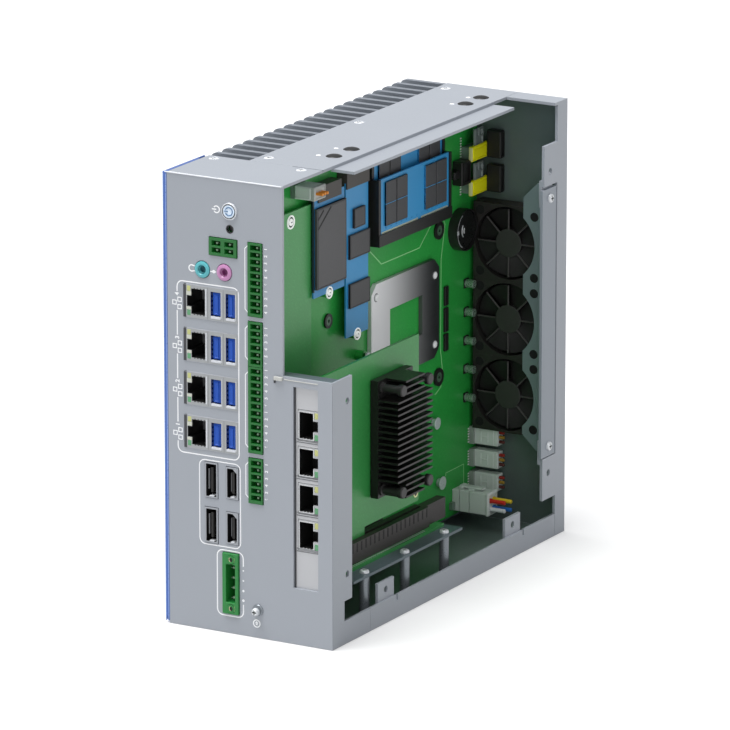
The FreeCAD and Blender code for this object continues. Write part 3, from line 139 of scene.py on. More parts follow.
def add_node(tree, kind, **values):
    """A new node, with its inputs set by name or number and its options by name."""
    node = tree.nodes.new("ShaderNode" + kind)
    for name, value in values.items():
        if hasattr(node, name):
            setattr(node, name, value)
        else:
            node.inputs[name.replace("_", " ")].default_value = value
    return node


def grey(tree, operation, first, second):
    """One sum on two values; either may be a number or another node's output."""
    node = add_node(tree, "Math", operation=operation)
    for socket, value in zip(node.inputs, (first, second)):
        if isinstance(value, (int, float)):
            socket.default_value = value
        else:
            tree.links.new(value, socket)
    return node.outputs[0]


def place_of(tree, stretch=(1, 1, 1)):
    """The place on the piece, stretched along one axis for a brushed or drawn finish."""
    coords = add_node(tree, "TexCoord")
    mapping = add_node(tree, "Mapping", Scale=stretch)
    tree.links.new(coords.outputs["Object"], mapping.inputs["Vector"])
    return mapping.outputs[0]


def noise(tree, vector, scale, detail=3.0):
    node = add_node(tree, "TexNoise", Scale=scale, Detail=detail)
    tree.links.new(vector, node.inputs["Vector"])
    return node.outputs[0]


def mixed(tree, factor, first, second):
    """A colour between two others."""
    node = add_node(tree, "Mix", data_type="RGBA")
    for socket, value in ((node.inputs[0], factor), (node.inputs[6], first), (node.inputs[7], second)):
        if isinstance(value, tuple):
            socket.default_value = (*value[:3], 1)
        elif isinstance(value, (int, float)):
            socket.default_value = value
        else:
            tree.links.new(value, socket)
    return node.outputs[2]


def between(tree, vector, low, high):
    """One inside a box given from the case's corner, and nought outside it."""
    middle, size = (at(*low) + at(*high)) / 2, (at(*high) - at(*low)) / 2
    steps = vector
    for operation, value in (("SUBTRACT", middle), ("ABSOLUTE", None), ("SUBTRACT", size)):
        node = add_node(tree, "VectorMath", operation=operation)
        tree.links.new(steps, node.inputs[0])
        if value is not None:
            node.inputs[1].default_value = value
        steps = node.outputs[0]
    split = add_node(tree, "SeparateXYZ")
    tree.links.new(steps, split.inputs[0])
    furthest = grey(tree, "MAXIMUM", grey(tree, "MAXIMUM", split.outputs[0], split.outputs[1]), split.outputs[2])
    return grey(tree, "LESS_THAN", furthest, 0.0)


def surface(tree, colour, rough=0.45, metal=0.0, grain=1400, relief=0.12, drift=0.05, stretch=(1, 1, 1),
            coat=0.0, glow=0.0, pattern=None):
    """One shader with fine grain, a slow drift of colour and an uneven gloss."""
    vector = place_of(tree, stretch)
    fine, slow = noise(tree, vector, grain), noise(tree, vector, 38, 2.0)
    dark = tuple(c * (1 - drift) for c in colour)
    light = tuple(min(1, c * (1 + drift)) for c in colour)
    base = mixed(tree, slow, dark, light)
    if pattern:
        base = pattern(tree, base)
    shader = add_node(tree, "BsdfPrincipled", Metallic=metal, Coat_Weight=coat, Coat_Roughness=0.15)
    gloss = add_node(tree, "MapRange")
    for socket, value in zip(gloss.inputs[1:5], (0.3, 0.7, max(rough - 0.04, 0.03), rough + 0.04)):
        socket.default_value = value
    tree.links.new(fine, gloss.inputs[0])
    bump = add_node(tree, "Bump", Strength=relief, Distance=0.0002)
    tree.links.new(fine, bump.inputs["Height"])
    tree.links.new(base, shader.inputs["Base Color"])
    tree.links.new(gloss.outputs[0], shader.inputs["Roughness"])
    tree.links.new(bump.outputs[0], shader.inputs["Normal"])
    if glow:
        shader.inputs["Emission Color"].default_value = (*colour, 1)
        shader.inputs["Emission Strength"].default_value = glow
    return shader.outputs[0]


def finish(name, colour, zones=(), **look):
    """A material; each zone is a list of boxes with the look that holds inside them."""
    mat = bpy.data.materials.get(name)
    if mat:
        return mat
    mat = bpy.data.materials.new(name)
    mat.use_nodes = True
    tree = mat.node_tree
    tree.nodes.clear()
    result = surface(tree, tuple(colour), **look)
    for boxes, other in zones:
        inner = surface(tree, **other)
        vector = place_of(tree)
        mask = None
        for low, high in boxes:
            here = between(tree, vector, low, high)
            mask = here if mask is None else grey(tree, "MAXIMUM", mask, here)
        mix = add_node(tree, "MixShader")
        for socket, value in zip(mix.inputs, (mask, result, inner)):
            tree.links.new(value, socket)
        result = mix.outputs[0]
    output = add_node(tree, "OutputMaterial")
    tree.links.new(result, output.inputs[0])
    return mat


# Ways of making a piece

def at(x, y, z):
    """A place in the frame, from millimetres to the right, back and up of the case's corner."""
    return Vector(((x - CASE_WIDE / 2) * MM, (y - CASE_DEEP / 2) * MM, z * MM))


def free():
    if bpy.context.object and bpy.context.object.mode != "OBJECT":
        bpy.ops.object.mode_set(mode="OBJECT")
    bpy.ops.object.select_all(action="DESELECT")


def only(obj):
    free()
    obj.select_set(True)
    bpy.context.view_layer.objects.active = obj
    return obj


def settle(obj):
    """Put the piece's place into its mesh."""
    only(obj)
    bpy.ops.object.transform_apply(location=True, rotation=True, scale=True)
    return obj


def pick(obj, test):
    """Select the faces whose middle, in corner millimetres, and normal pass a test."""
    mesh = obj.data
    for part in (mesh.vertices, mesh.edges):
        part.foreach_set("select", [False] * len(part))
    for face in mesh.polygons:
        middle = face.center / MM + Vector((CASE_WIDE / 2, CASE_DEEP / 2, 0))
        face.select = test(middle, face.normal)


def shape(obj, test, *steps):
    """Pick faces and work on them in edit mode; each step is an operator with its settings."""
    only(obj)
    pick(obj, test)
    bpy.ops.object.mode_set(mode="EDIT")
    bpy.ops.mesh.select_mode(type="FACE")
    for operator, settings in steps:
        operator(**settings)
    bpy.ops.object.mode_set(mode="OBJECT")
    return obj


def everywhere(middle, normal):
    return True


def facing(direction, share=0.9):
    wanted = Vector(direction)
    return lambda middle, normal: normal.dot(wanted) > share


def push(value):
    return (bpy.ops.mesh.extrude_region_move, {"TRANSFORM_OT_translate": {"value": tuple(v * MM for v in value)}})


def inset(thick, deep=0.0):
    return (bpy.ops.mesh.inset, {"thickness": thick * MM, "depth": deep * MM})


def soften(amount, segments=2):
    return (bpy.ops.mesh.bevel, {"offset": amount * MM, "segments": segments, "affect": "EDGES"})


def block(name, x, y, z, soft=0.2, segments=2):
    """A block between two places on each axis, with rounded edges."""
    free()
    low, high = at(x[0], y[0], z[0]), at(x[1], y[1], z[1])
    bpy.ops.mesh.primitive_cube_add(size=1, location=(low + high) / 2)
    obj = bpy.context.object
    obj.name = name
    obj.scale = high - low
    settle(obj)
    if soft:
        shape(obj, everywhere, soften(soft, segments))
    return obj


TURNS = {"x": Matrix.Rotation(math.radians(90), 4, "Y"), "y": Matrix.Rotation(math.radians(-90), 4, "X"),
         "z": Matrix.Identity(4)}


def lathe(name, axis, centre, profile, sides=32):
    """A turned piece: radius and place along the axis for each corner of its profile."""
    free()
    bpy.ops.curve.primitive_bezier_curve_add()
    obj = bpy.context.object
    obj.name = name
    obj.data.splines.clear()
    line = obj.data.splines.new("POLY")
    line.points.add(len(profile) - 1)
    for point, (radius, along) in zip(line.points, profile):
        point.co = (radius * MM, 0, along * MM, 1)
    bpy.ops.object.convert(target="MESH")
    bpy.ops.object.mode_set(mode="EDIT")
    bpy.ops.mesh.select_all(action="SELECT")
    bpy.ops.mesh.spin(steps=sides, angle=math.tau, center=(0, 0, 0), axis=(0, 0, 1), use_auto_merge=True)
    bpy.ops.mesh.select_all(action="SELECT")
    bpy.ops.mesh.remove_doubles(threshold=1e-6)
    bpy.ops.mesh.normals_make_consistent(inside=False)
    bpy.ops.object.mode_set(mode="OBJECT")
    start = {"x": at(0, *centre), "y": at(centre[0], 0, centre[1]), "z": at(*centre, 0)}[axis]
    obj.data.transform(Matrix.Translation(start) @ TURNS[axis])
    return obj


def ribbon(name, lines, radius, resolution=1):
    """A bead of even thickness along rows of places in the frame; the last word says if a row closes."""
    free()
    bpy.ops.curve.primitive_bezier_curve_add()
    obj = bpy.context.object
    obj.name = name
    data = obj.data
    data.splines.clear()
    data.dimensions = "3D"
    for row, closed in lines:
        line = data.splines.new("POLY")
        line.points.add(len(row) - 1)
        line.use_cyclic_u = closed
        for point, place in zip(line.points, row):
            point.co = (*place, 1)
    data.bevel_depth = radius
    data.bevel_resolution = resolution
    data.use_fill_caps = True
    bpy.ops.object.convert(target="MESH")
    return obj


def flatten(obj, axis, level, share):
    """Press a bead flat onto the face that carries it."""
    for vertex in obj.data.vertices:
        vertex.co[axis] = level + (vertex.co[axis] - level) * share
    return obj


def copy_of(obj, move, turn=None, name=None):
    """Another of the same piece with a mesh of its own."""
    twin = obj.copy()
    twin.data = obj.data.copy()
    bpy.context.scene.collection.objects.link(twin)
    twin.data.transform(Matrix.Translation(Vector(move) * MM) @ (turn or Matrix.Identity(4)))
    if name:
        twin.name = name
    return twin


def dress(obj, mat):
    obj.data.materials.clear()
    obj.data.materials.append(mat)
    return obj


def joined(name, *pieces):
    only(pieces[0])
    for piece in pieces:
        piece.select_set(True)
    if len(pieces) > 1:
        bpy.ops.object.join()
    obj = bpy.context.object
    obj.name = name
    return obj


def smooth(obj, angle=35):
    only(obj)
    bpy.ops.object.shade_smooth_by_angle(angle=math.radians(angle))
    return obj


def modify(obj, kind, **settings):
    """Add a modifier and apply it."""
    only(obj)
    modifier = obj.modifiers.new(kind, kind)
    for name, value in settings.items():
        setattr(modifier, name, value)
    bpy.ops.object.modifier_apply(modifier=modifier.name)
    return obj


def keep(obj, mat=None, body="case", stands_for=()):
    """Finish a piece: its gloss and the body that it rides on; the imported solids that it stands for are hidden."""
    if mat:
        dress(obj, mat)
        smooth(obj)
        modify(obj, "WEIGHTED_NORMAL", mode="FACE_AREA", weight=90, keep_sharp=True)
    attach(obj, body)
    if stands_for:
        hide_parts(*stands_for)
    return obj


def wear(node, mat):
    """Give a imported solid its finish; its shape stays as it is."""
    dress(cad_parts[node], mat)


def soft_copy(node, edge, mat, body="case"):
    """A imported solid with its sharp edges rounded, standing for that solid."""
    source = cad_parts[node]
    obj = bpy.data.objects.new("soft_" + node, source.data.copy())
    bpy.context.scene.collection.objects.link(obj)
    only(obj)
    bpy.ops.object.mode_set(mode="EDIT")
    bpy.ops.mesh.select_all(action="SELECT")
    bpy.ops.mesh.remove_doubles(threshold=2e-6)
    bpy.ops.mesh.dissolve_limited(angle_limit=math.radians(1))
    bpy.ops.object.mode_set(mode="OBJECT")
    modify(obj, "BEVEL", width=edge, segments=2, limit_method="ANGLE", angle_limit=math.radians(40),
           harden_normals=False, use_clamp_overlap=True)
    return keep(obj, mat, body, (node,))


# Finishes that several pieces share

def settings(context):
    return context.scene.computer_sizes, context.scene.computer_colours


def black_plastic():
    return finish("black_plastic", tint("1B1A1A"), rough=0.42, grain=1800, relief=0.1, drift=0.12)


def bright_metal():
    return finish("bright_metal", tint("D8DADC"), rough=0.3, metal=0.55, grain=1500, relief=0.05, drift=0.04)


def screw_metal():
    return finish("screw_metal", tint("E0E3E6"), rough=0.32, metal=0.4, grain=1900, relief=0.05, drift=0.06)


def brass():
    return finish("brass", tint("D9C98C"), rough=0.3, metal=0.7, grain=1800, relief=0.08, drift=0.08)


def lamp_glass(name, code):
    return finish(name, tint(code), rough=0.25, grain=900, relief=0.04, drift=0.1, coat=0.4)


def ink(colours):
    return finish("front_ink", colours.ink, rough=0.5, grain=2400, relief=0.08, drift=0.02)


# The case

class COMPUTER_OT_sheets(bpy.types.Operator):
    """Paint the folded case sheets and round their edges"""
    bl_idname = "computer.sheets"
    bl_label = "Case sheets"

    def execute(self, context):
        sizes, colours = settings(context)
        # inner: painted shade and a painted reflection of the boards, darker and greener than the paint, on the rear's
        # and the base's inner faces
        inner = dict(colour=tuple(colours.inside), rough=0.34, metal=0.25, grain=900, relief=0.08, drift=0.16)
        outer = dict(rough=0.4, grain=1300, relief=0.07, drift=0.02, coat=0.12)
        rear_inner_shade = [((-1, 225, 1.6), (92.3, 235.7, 227))]
        floor_inner_shade = [((1.6, 1, 1.3), (92.3, 236, 2.2))]
        # The shelf's top inside the case is painted darker than the case paint: painted shade.
        shelf_shade = dict(colour=tint("616A72"), rough=0.4, metal=0.2, grain=1300, relief=0.06, drift=0.05)
        shelf_top = [((61.5, 1.3, 131.2), (93, 18, 134.6))]
        paint = finish("case_paint_and_shelf_shade", colours.panel, zones=[(shelf_top, shelf_shade)], **outer)
        rear = finish("rear_paint_and_inner_shade", colours.panel, zones=[(rear_inner_shade, inner)], **outer)
        floor = finish("floor_paint_and_inner_shade", colours.panel, zones=[(floor_inner_shade, inner)], **outer)
        # The fan bracket's clamp face is painted darker and greener than the bracket: painted shade.
        shade = dict(colour=tint("7F8F92"), rough=0.36, metal=0.2, grain=1100, relief=0.07, drift=0.1)
        clamp_face = [((74, 223.9, 40), (92.4, 226, 190))]
        bracket = finish("bracket_paint_and_clamp_shade", tint("8D949D"), zones=[(clamp_face, shade)], **outer)
        for node, mat, slot in (("front_panel", paint, "panel_grey"), ("top_panel", paint, "panel_grey"),
                                ("base_panel", floor, "panel_grey"), ("rear_panel", rear, "panel_grey"),
                                ("fan_bracket", bracket, "bracket_grey")):
            soft_copy(node, sizes.sheet_edge, mat)
        rubber = finish("dome_rubber", tint("1B1B1C"), rough=0.4, grain=1200, relief=0.08, drift=0.1)
        domes = []
        for y in (68, 85, 199.8, 215.9):
            dome = [(0, 228.95), (1.4, 228.9), (2.6, 228.7), (3.5, 228.38), (4.0, 228.12), (4.15, 227.97)]
            domes.append(lathe("dome", "z", (55.6, y), dome, 40))
        # A pale bead along the front's top edge: a painted highlight.
        edge = finish("painted_top_edge_highlight", tint("E2E5EA"), rough=0.3, grain=1300, relief=0.04, drift=0.03, coat=0.2)
        top_edge = [([at(0.4, 0, 227.93), at(65.9, 0, 227.93)], False)]
        keep(ribbon("front_top_highlight", top_edge, 0.36 * MM, 2), edge)
        fold = finish("fold_shade", tint("777C83"), rough=0.45, grain=1300, relief=0.05, drift=0.05)
        folds = [([at(93.85, 0.22, 132.9), at(93.85, 0.22, 0.6)], False),
                 ([at(49.5, 39.25, 227.98), at(66.6, 39.25, 227.98)], False),
                 ([at(94, 225.8, 45), at(94, 225.8, 184.4)], False)]
        lines = ribbon("fold_lines", folds, 0.22 * MM, 2)
        dot = lathe("dot", "z", (49.4, 39.25), [(0, 228.08), (0.4, 228.08), (0.5, 227.98)], 16)
        keep(joined("fold_lines", lines, dot), fold)
        keep(joined("roof_domes", *domes), rubber, stands_for=("hole_plugs",))
        return {"FINISHED"}


class COMPUTER_OT_finned_side(bpy.types.Operator):
    """Paint the finned side and round every fin, with the blue strip at its front"""
    bl_idname = "computer.finned_side"
    bl_label = "Finned side"

    def execute(self, context):
        sizes, colours = settings(context)
        fins = finish("fin_paint", colours.fins, rough=0.42, metal=0.2, grain=900, relief=0.1, drift=0.05,
                      stretch=(1, 0.1, 1))
        soft_copy("heat_sink", sizes.fin_edge, fins)
        low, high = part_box("accent_trim")
        # Pale beads down both edges of the blue strip: painted highlights.
        beads = [([Vector((x, low.y, low.z + 0.001)), Vector((x, low.y, high.z - 0.001))], False)
                 for x in (low.x + 0.0005, high.x - 0.0005)]
        pale = finish("trim_edge_highlight", tint("8FA8DC"), rough=0.3, metal=0.3, grain=1200, relief=0.05, drift=0.06)
        keep(ribbon("trim_highlight_beads", beads, 0.28 * MM, 2), pale)
        trim = finish("blue_trim", colours.trim, rough=0.32, metal=0.35, grain=900, relief=0.08, drift=0.14,
                      stretch=(1, 1, 0.05), coat=0.2)
        soft_copy("accent_trim", sizes.sheet_edge, trim)
        return {"FINISHED"}


# Printing on the front

def corner_row(x, z, radius):
    """Places round a frame with round corners, from its top left corner to the right."""
    row = []
    for mid_x, mid_z, start in ((x[0] + radius, z[1] - radius, 180), (x[1] - radius, z[1] - radius, 90),
                                (x[1] - radius, z[0] + radius, 0), (x[0] + radius, z[0] + radius, -90)):
        for step in range(5):
            turn = math.radians(start - 22.5 * step)
            row.append((mid_x + radius * math.cos(turn), mid_z + radius * math.sin(turn)))
    return row


def on_front(row):
    return [at(x, 0, z) for x, z in row]


def ring_row(x, z, radius, start=0, sweep=360, steps=20):
    turns = [math.radians(start + sweep * k / steps) for k in range(steps + (sweep < 360))]
    return [(x + radius * math.cos(t), z + radius * math.sin(t)) for t in turns]


def letter(text, size, x, z, turn=0):
    """A printed figure on the front, as a mesh."""
    free()
    bpy.ops.object.text_add()
    obj = bpy.context.object
    words = obj.data
    words.body, words.size, words.extrude = text, size, 0.00003
    words.align_x, words.align_y = "CENTER", "CENTER"
    words.offset = size * 0.035
    bpy.ops.object.convert(target="MESH")
    place = Matrix.Translation(at(x, 0, z)) @ Matrix.Rotation(math.radians(90), 4, "X")
    obj.data.transform(place @ Matrix.Rotation(math.radians(turn), 4, "Z"))
    return obj


def printed(name, rows, sizes, mat, width=1.0):
    bead = ribbon(name, [(on_front(row), closed) for row, closed in rows], sizes.print_width / 2 * width)
    flatten(bead, 1, at(0, 0, 0).y, sizes.print_lift / (sizes.print_width / 2 * width))
    return keep(bead, mat)


class COMPUTER_OT_printing(bpy.types.Operator):
    """Print the frames, row numbers, dots and plain symbols on the front"""
    bl_idname = "computer.printing"
    bl_label = "Front printing"

    def execute(self, context):
        sizes, colours = settings(context)
        mat = ink(colours)
        frame_x, frame_z = (7.0, 41.7), (88.4, 174.6)
        above, below, drop = 6.0, 3.5, 2.1
        ports = corner_row(frame_x, frame_z, 3.0)
        ports = [(frame_x[0], PORT_ROWS[0] + above - drop)] + ports + [(frame_x[0], PORT_ROWS[-1] - below - drop)]
        rows = [(ports, False)]
        for upper, lower in zip(PORT_ROWS, PORT_ROWS[1:]):
            rows.append(([(frame_x[0], upper - below - drop), (frame_x[0], lower + above - drop)], False))
        rows.append((corner_row((19.1, 42.3), (43.6, 86.3), 3.0), True))
        inlet = corner_row((28.9, 43.7), (8.8, 41.9), 3.0)
        rows.append((inlet[10:] + inlet[:10], False))
        rows[-1] = ([(43.7, 15.6)] + rows[-1][0] + [(43.7, 35.0)], False)
        printed("front_frames", rows, sizes, mat)
        icons = []
        for z in PORT_ROWS:
            for x, rise in ((-1.5, 0.3), (1.4, 2.0), (1.4, -1.7)):
                x0, z0 = frame_x[0] + x, z + rise - drop
                icons.append(([(x0 - 1, z0 - 1), (x0 + 1, z0 - 1), (x0 + 1, z0 + 1), (x0 - 1, z0 + 1)], True))
        printed("network_symbols", icons, sizes, mat, 1.25)
        digits = [letter(str(4 - k), sizes.digit_size, frame_x[0], z + 4.7 - drop, 90) for k, z in enumerate(PORT_ROWS)]
        keep(joined("row_numbers", *digits), mat)
        power = [(ring_row(29.6, 212.6, 1.65, 212, 296), False), ([(29.5, 212.6), (27.0, 212.6)], False)]
        ground = [(ring_row(51.2, 7.2, 1.85), True), ([(50.4, 7.5), (52.0, 7.5)], False), ([(51.2, 7.5), (51.2, 8.4)], False),
                  ([(50.7, 6.7), (51.7, 6.7)], False)]
        listen = [(ring_row(15.4, 181.7, 1.55, 60, 240), False), ([(16.1, 183.1), (17.2, 182.9)], False),
                  ([(16.1, 180.3), (17.2, 180.5)], False)]
        speak = [([(25.9, 181.3), (29.2, 181.4)], False), (ring_row(27.9, 181.4, 0.55), True)]
        printed("plain_symbols", power + ground + listen + speak, sizes, mat, 1.15)
        hooks = []
        for low, high in ((161.9, 198.4), (138.2, 158.6), (94.2, 135.6), (68.8, 90.2)):
            hooks.append(([(47.0, high - 1.6), (45.4, high - 3.2), (45.4, low + 3.2), (47.0, low + 1.6)], False))
        printed("header_brackets", hooks, sizes, mat, 0.9)
        pins = []
        for top, count in ((198.4, 10), (159.2, 18), (90.8, 6)):
            for k in range(count):
                pins.append(letter(str(k % 6 + 1), sizes.pin_digit, 57.1, top - 2.3 - 3.5 * k, 90))
        keep(joined("pin_numbers", *pins), mat)
        dots = []
        for z, radius in ((17.7, 0.42), (22.6, 0.38), (27.8, 0.24), (32.9, 0.18)):
            dots.append((ring_row(43.7, z, radius, steps=8), True))
        printed("inlet_dots", dots, sizes, mat, 1.0)
        marks = []
        for x, y in ((47.9, 66.1), (48, 83.1), (49.7, 196.2), (49.7, 213.1)):
            mark = lathe("roof_mark", "z", (x, y), [(0, 228.07), (1.15, 228.07), (1.3, 227.98)], 16)
            marks.append(mark)
        keep(joined("roof_marks", *marks), mat)
        return {"FINISHED"}


# Sockets on the front

class COMPUTER_OT_port_stacks(bpy.types.Operator):
    """Dress the stacks of one network and two data sockets"""
    bl_idname = "computer.port_stacks"
    bl_label = "Network and data sockets"

    def execute(self, context):
        sizes, colours = settings(context)
        wells, data_well_shade_boxes, edges = [], [], []
        for z in PORT_ROWS:
            wells += [((15.25, -0.35, z - 6.35), (23.05, 14, z + 6.35)), ((12.75, -0.35, z - 2.75), (15.3, 14, z + 2.75))]
            for a, b in ((26.2, 31.9), (34.7, 40.0)):
                data_well_shade_boxes.append(((a - 0.05, -0.35, z - 6.15), (b + 0.05, 12, z + 6.15)))
        black = dict(colour=tint("0D0D0D"), rough=0.5, grain=1600, relief=0.1, drift=0.1)
        # The data wells around the tongues are painted dark blue: painted shade.
        blue_well_shade = dict(colour=tint("0B2E80"), rough=0.45, grain=1500, relief=0.1, drift=0.1)
        shield = finish("socket_shield", tint("A2A5A7"), zones=[(wells, black), (data_well_shade_boxes, blue_well_shade)],
                        rough=0.32, metal=0.35, grain=1500, relief=0.06, drift=0.03)
        blue = finish("data_blue", colours.data, rough=0.5, grain=1600, relief=0.08, drift=0.1)
        z = PORT_ROWS[0]
        front = -0.42
        strip = block("gap_strip", (10.7, 12.4), (front - 0.05, 0.4), (z - 8.3, z + 8.0), 0.15)
        border = [(12.4, z - 8.15), (41.2, z - 8.15), (41.2, z + 8.15), (12.4, z + 8.15)]
        lip = ribbon("lip", [([at(x, -0.02, height) for x, height in border], False)], 0.28 * MM, 2)
        seams = joined("seams", block("seam", (24.4, 24.7), (front - 0.05, 0), (z - 7.9, z + 7.8), 0.04, 1),
                       block("seam", (33.2, 33.5), (front - 0.05, 0), (z - 7.9, z + 7.8), 0.04, 1))
        teeth = []
        for k in range(4):
            x = 16.6 + 1.75 * k
            teeth.append(block("tooth", (x, x + 0.85), (front - 0.02, 3), (z + 6.2, z + 6.75), 0.08, 1))
            teeth.append(block("tooth", (x, x + 0.85), (front - 0.02, 3), (z - 6.75, z - 6.2), 0.08, 1))
        fingers = []
        for k in range(8):
            x = 16.3 + 0.8 * k
            finger = block("finger", (21.0, 22.6), (5.5, 9.5), (z - 3.7 + 1.02 * k, z - 3.3 + 1.02 * k), 0.08, 1)
            fingers.append(finger)
        rims, tongues, bumps = [], [], []
        for a, b in ((26.2, 31.9), (34.7, 40.0)):
            # The pale rims at the foot and side of each data socket are real metal lips; their brightness is a painted
            # highlight.
            rims.append(block("rim", (a + 0.1, b), (front - 0.25, 0.9), (z - 7.3, z - 6.05), 0.25))
            rims.append(block("rim", (b + 0.1, b + 0.4), (front - 0.1, 0.3), (z - 6.9, z + 6.6), 0.1))
            tongue = block("tongue", (a + 0.85, b - 0.45), (0.25, 10.5), (z - 5.6, z + 5.8), 0.3)
            shape(tongue, facing((0, -1, 0)), inset(0.95), push((0, -0.5, 0)))
            tongues.append(tongue)
            # The notches along the tongues' sides are real; their darker blue is painted shade.
            for k in range(5):
                place = z - 5.1 + 2.3 * k
                bumps.append(block("bump", (b - 0.55, b + 0.02), (0.15, 5), (place + 0.6, place + 1.6), 0.1, 1))
                bumps.append(block("bump", (a - 0.02, a + 0.8), (0.15, 5), (place, place + 1.2), 0.1, 1))
        rims.append(block("rim", (23.2, 23.9), (front - 0.1, 0.3), (z - 7.0, z + 7.0), 0.15))
        yellow = block("lamp", (12.8, 14.9), (front - 0.1, 1.4), (z + 4.9, z + 7.6), 0.3, 3)
        green = block("lamp", (12.8, 14.9), (front - 0.1, 1.4), (z - 7.2, z - 4.4), 0.3, 3)
        frames = joined("lamp_frames", block("frame", (12.5, 15.3), (front - 0.1, 0.5), (z + 2.9, z + 4.8), 0.15),
                        block("frame", (12.5, 15.3), (front - 0.1, 0.5), (z - 4.3, z - 2.9), 0.15))
        lips = finish("lip_metal", tint("B4B7BD"), rough=0.35, metal=0.2, grain=1500, relief=0.05)
        groups = [("socket_lips", [lip], lips),
                  ("gap_strip", [strip], finish("gap_shade", tint("3F4044"), rough=0.5, grain=1500, relief=0.1)),
                  ("seam_lines", [seams], finish("seam_shade", tint("85868B"), rough=0.5, grain=1500, relief=0.1)),
                  ("latch_teeth", teeth, black_plastic()), ("contacts", fingers, brass()),
                  ("data_rims", rims, finish("rim_metal_and_highlight", tint("D4D7DC"), rough=0.35, metal=0.1, grain=1500, relief=0.05)), ("data_tongues", tongues, blue),
                  ("data_notches", bumps, finish("notch_blue_and_shade", tint("0A2458"), rough=0.5, grain=1500, relief=0.1)),
                  ("yellow_lamps", [yellow], lamp_glass("yellow_lamp", "BFC27C")),
                  ("green_lamps", [green], lamp_glass("green_lamp", "5A9A6C")),
                  ("lamp_frames", [frames], finish("lamp_frame", tint("C6C9BC"), rough=0.4, grain=1500, relief=0.06))]
        for name, parts, mat in groups:
            first = joined(name + "_1", *parts)
            keep(first, mat)
            for k in range(1, 4):
                twin = copy_of(first, (0, 0, PORT_ROWS[k] - z), name=f"{name}_{k + 1}")
                keep(twin)
        for k in range(4):
            wear(f"port_stack_{k + 1}", shield)
        return {"FINISHED"}


class COMPUTER_OT_video_stacks(bpy.types.Operator):
    """Dress the two stacks of video sockets"""
    bl_idname = "computer.video_stacks"
    bl_label = "Video sockets"

    def execute(self, context):
        wells = []
        for z in VIDEO_ROWS:
            wells += [((22.95, -0.35, z - 8.25), (28.85, 14, z + 8.25)), ((34.95, -0.35, z - 7.35), (40.45, 14, z + 7.35))]
        black = dict(colour=tint("141414"), rough=0.5, grain=1600, relief=0.12, drift=0.1)
        shield = finish("video_shield", tint("9EA2A8"), zones=[(wells, black)], rough=0.4, metal=0.05, grain=1500,
                        relief=0.06, drift=0.03)
        z, front = VIDEO_ROWS[0], -0.42
        rims = []
        # The pale spring at the foot of each opening is a real spring; its brightness is a painted highlight.
        for a, b, half in ((23, 28.8, 8.2), (35, 40.4, 7.3)):
            rims.append(block("spring", (a + 1.7, b - 1.4), (front + 0.1, 3), (z - half - 0.1, z - half + 0.5), 0.2))
        blade = joined("blades", block("blade", (25.4, 26.4), (0.6, 10), (z - 6.4, z + 6.4), 0.2),
                       block("blade", (37.6, 38.6), (0.6, 10), (z - 5.6, z + 5.6), 0.2))
        # Grey bars inside the openings: the sockets' inner metal, drawn as painted highlights.
        bar_highlights = joined("bar_highlights", block("bar", (23.9, 24.5), (0.4, 8), (z - 4.8, z + 5.6), 0.2),
                      block("bar", (36.2, 36.6), (1.2, 8), (z - 4.6, z + 4.8), 0.15))
        wedges = []
        for side, chamfer in ((1, 2.3), (-1, 1.1)):
            edge = z + side * 7.35
            wedge = block("wedge", (40.45 - chamfer, 40.45), (front + 0.02, 3), sorted((edge - side * chamfer, edge)), 0)
            shape(wedge, lambda middle, normal: normal.x < -0.9,
                  (bpy.ops.transform.resize, {"value": (1, 1, 0.05), "center_override": at(40.45 - chamfer, 0, edge)}))
            wedges.append(wedge)
        fingers = []
        for k in range(10):
            place = z - 5.7 + 1.25 * k
            fingers.append(block("finger", (26.4, 26.65), (4.5, 9), (place, place + 0.55), 0.06, 1))
        for name, parts, slot, mat in (("video_springs", rims, "shield_steel", bpy.data.materials["rim_metal_and_highlight"]),
                                       ("video_blades", [blade], "socket_black", black_plastic()),
                                       ("video_bar_highlights", [bar_highlights], "shield_steel", finish("painted_bar_highlight", tint("77797C"), rough=0.35, metal=0.4, grain=1500, relief=0.06)),
                                       ("video_wedges", wedges, "shield_steel", shield),
                                       ("video_contacts", fingers, "pin_metal", brass())):
            first = joined(name + "_1", *parts)
            keep(first, mat)
            keep(copy_of(first, (0, 0, VIDEO_ROWS[1] - z), name=name + "_2"))
        for k in (1, 2):
            wear(f"video_stack_{k}", shield)
        return {"FINISHED"}


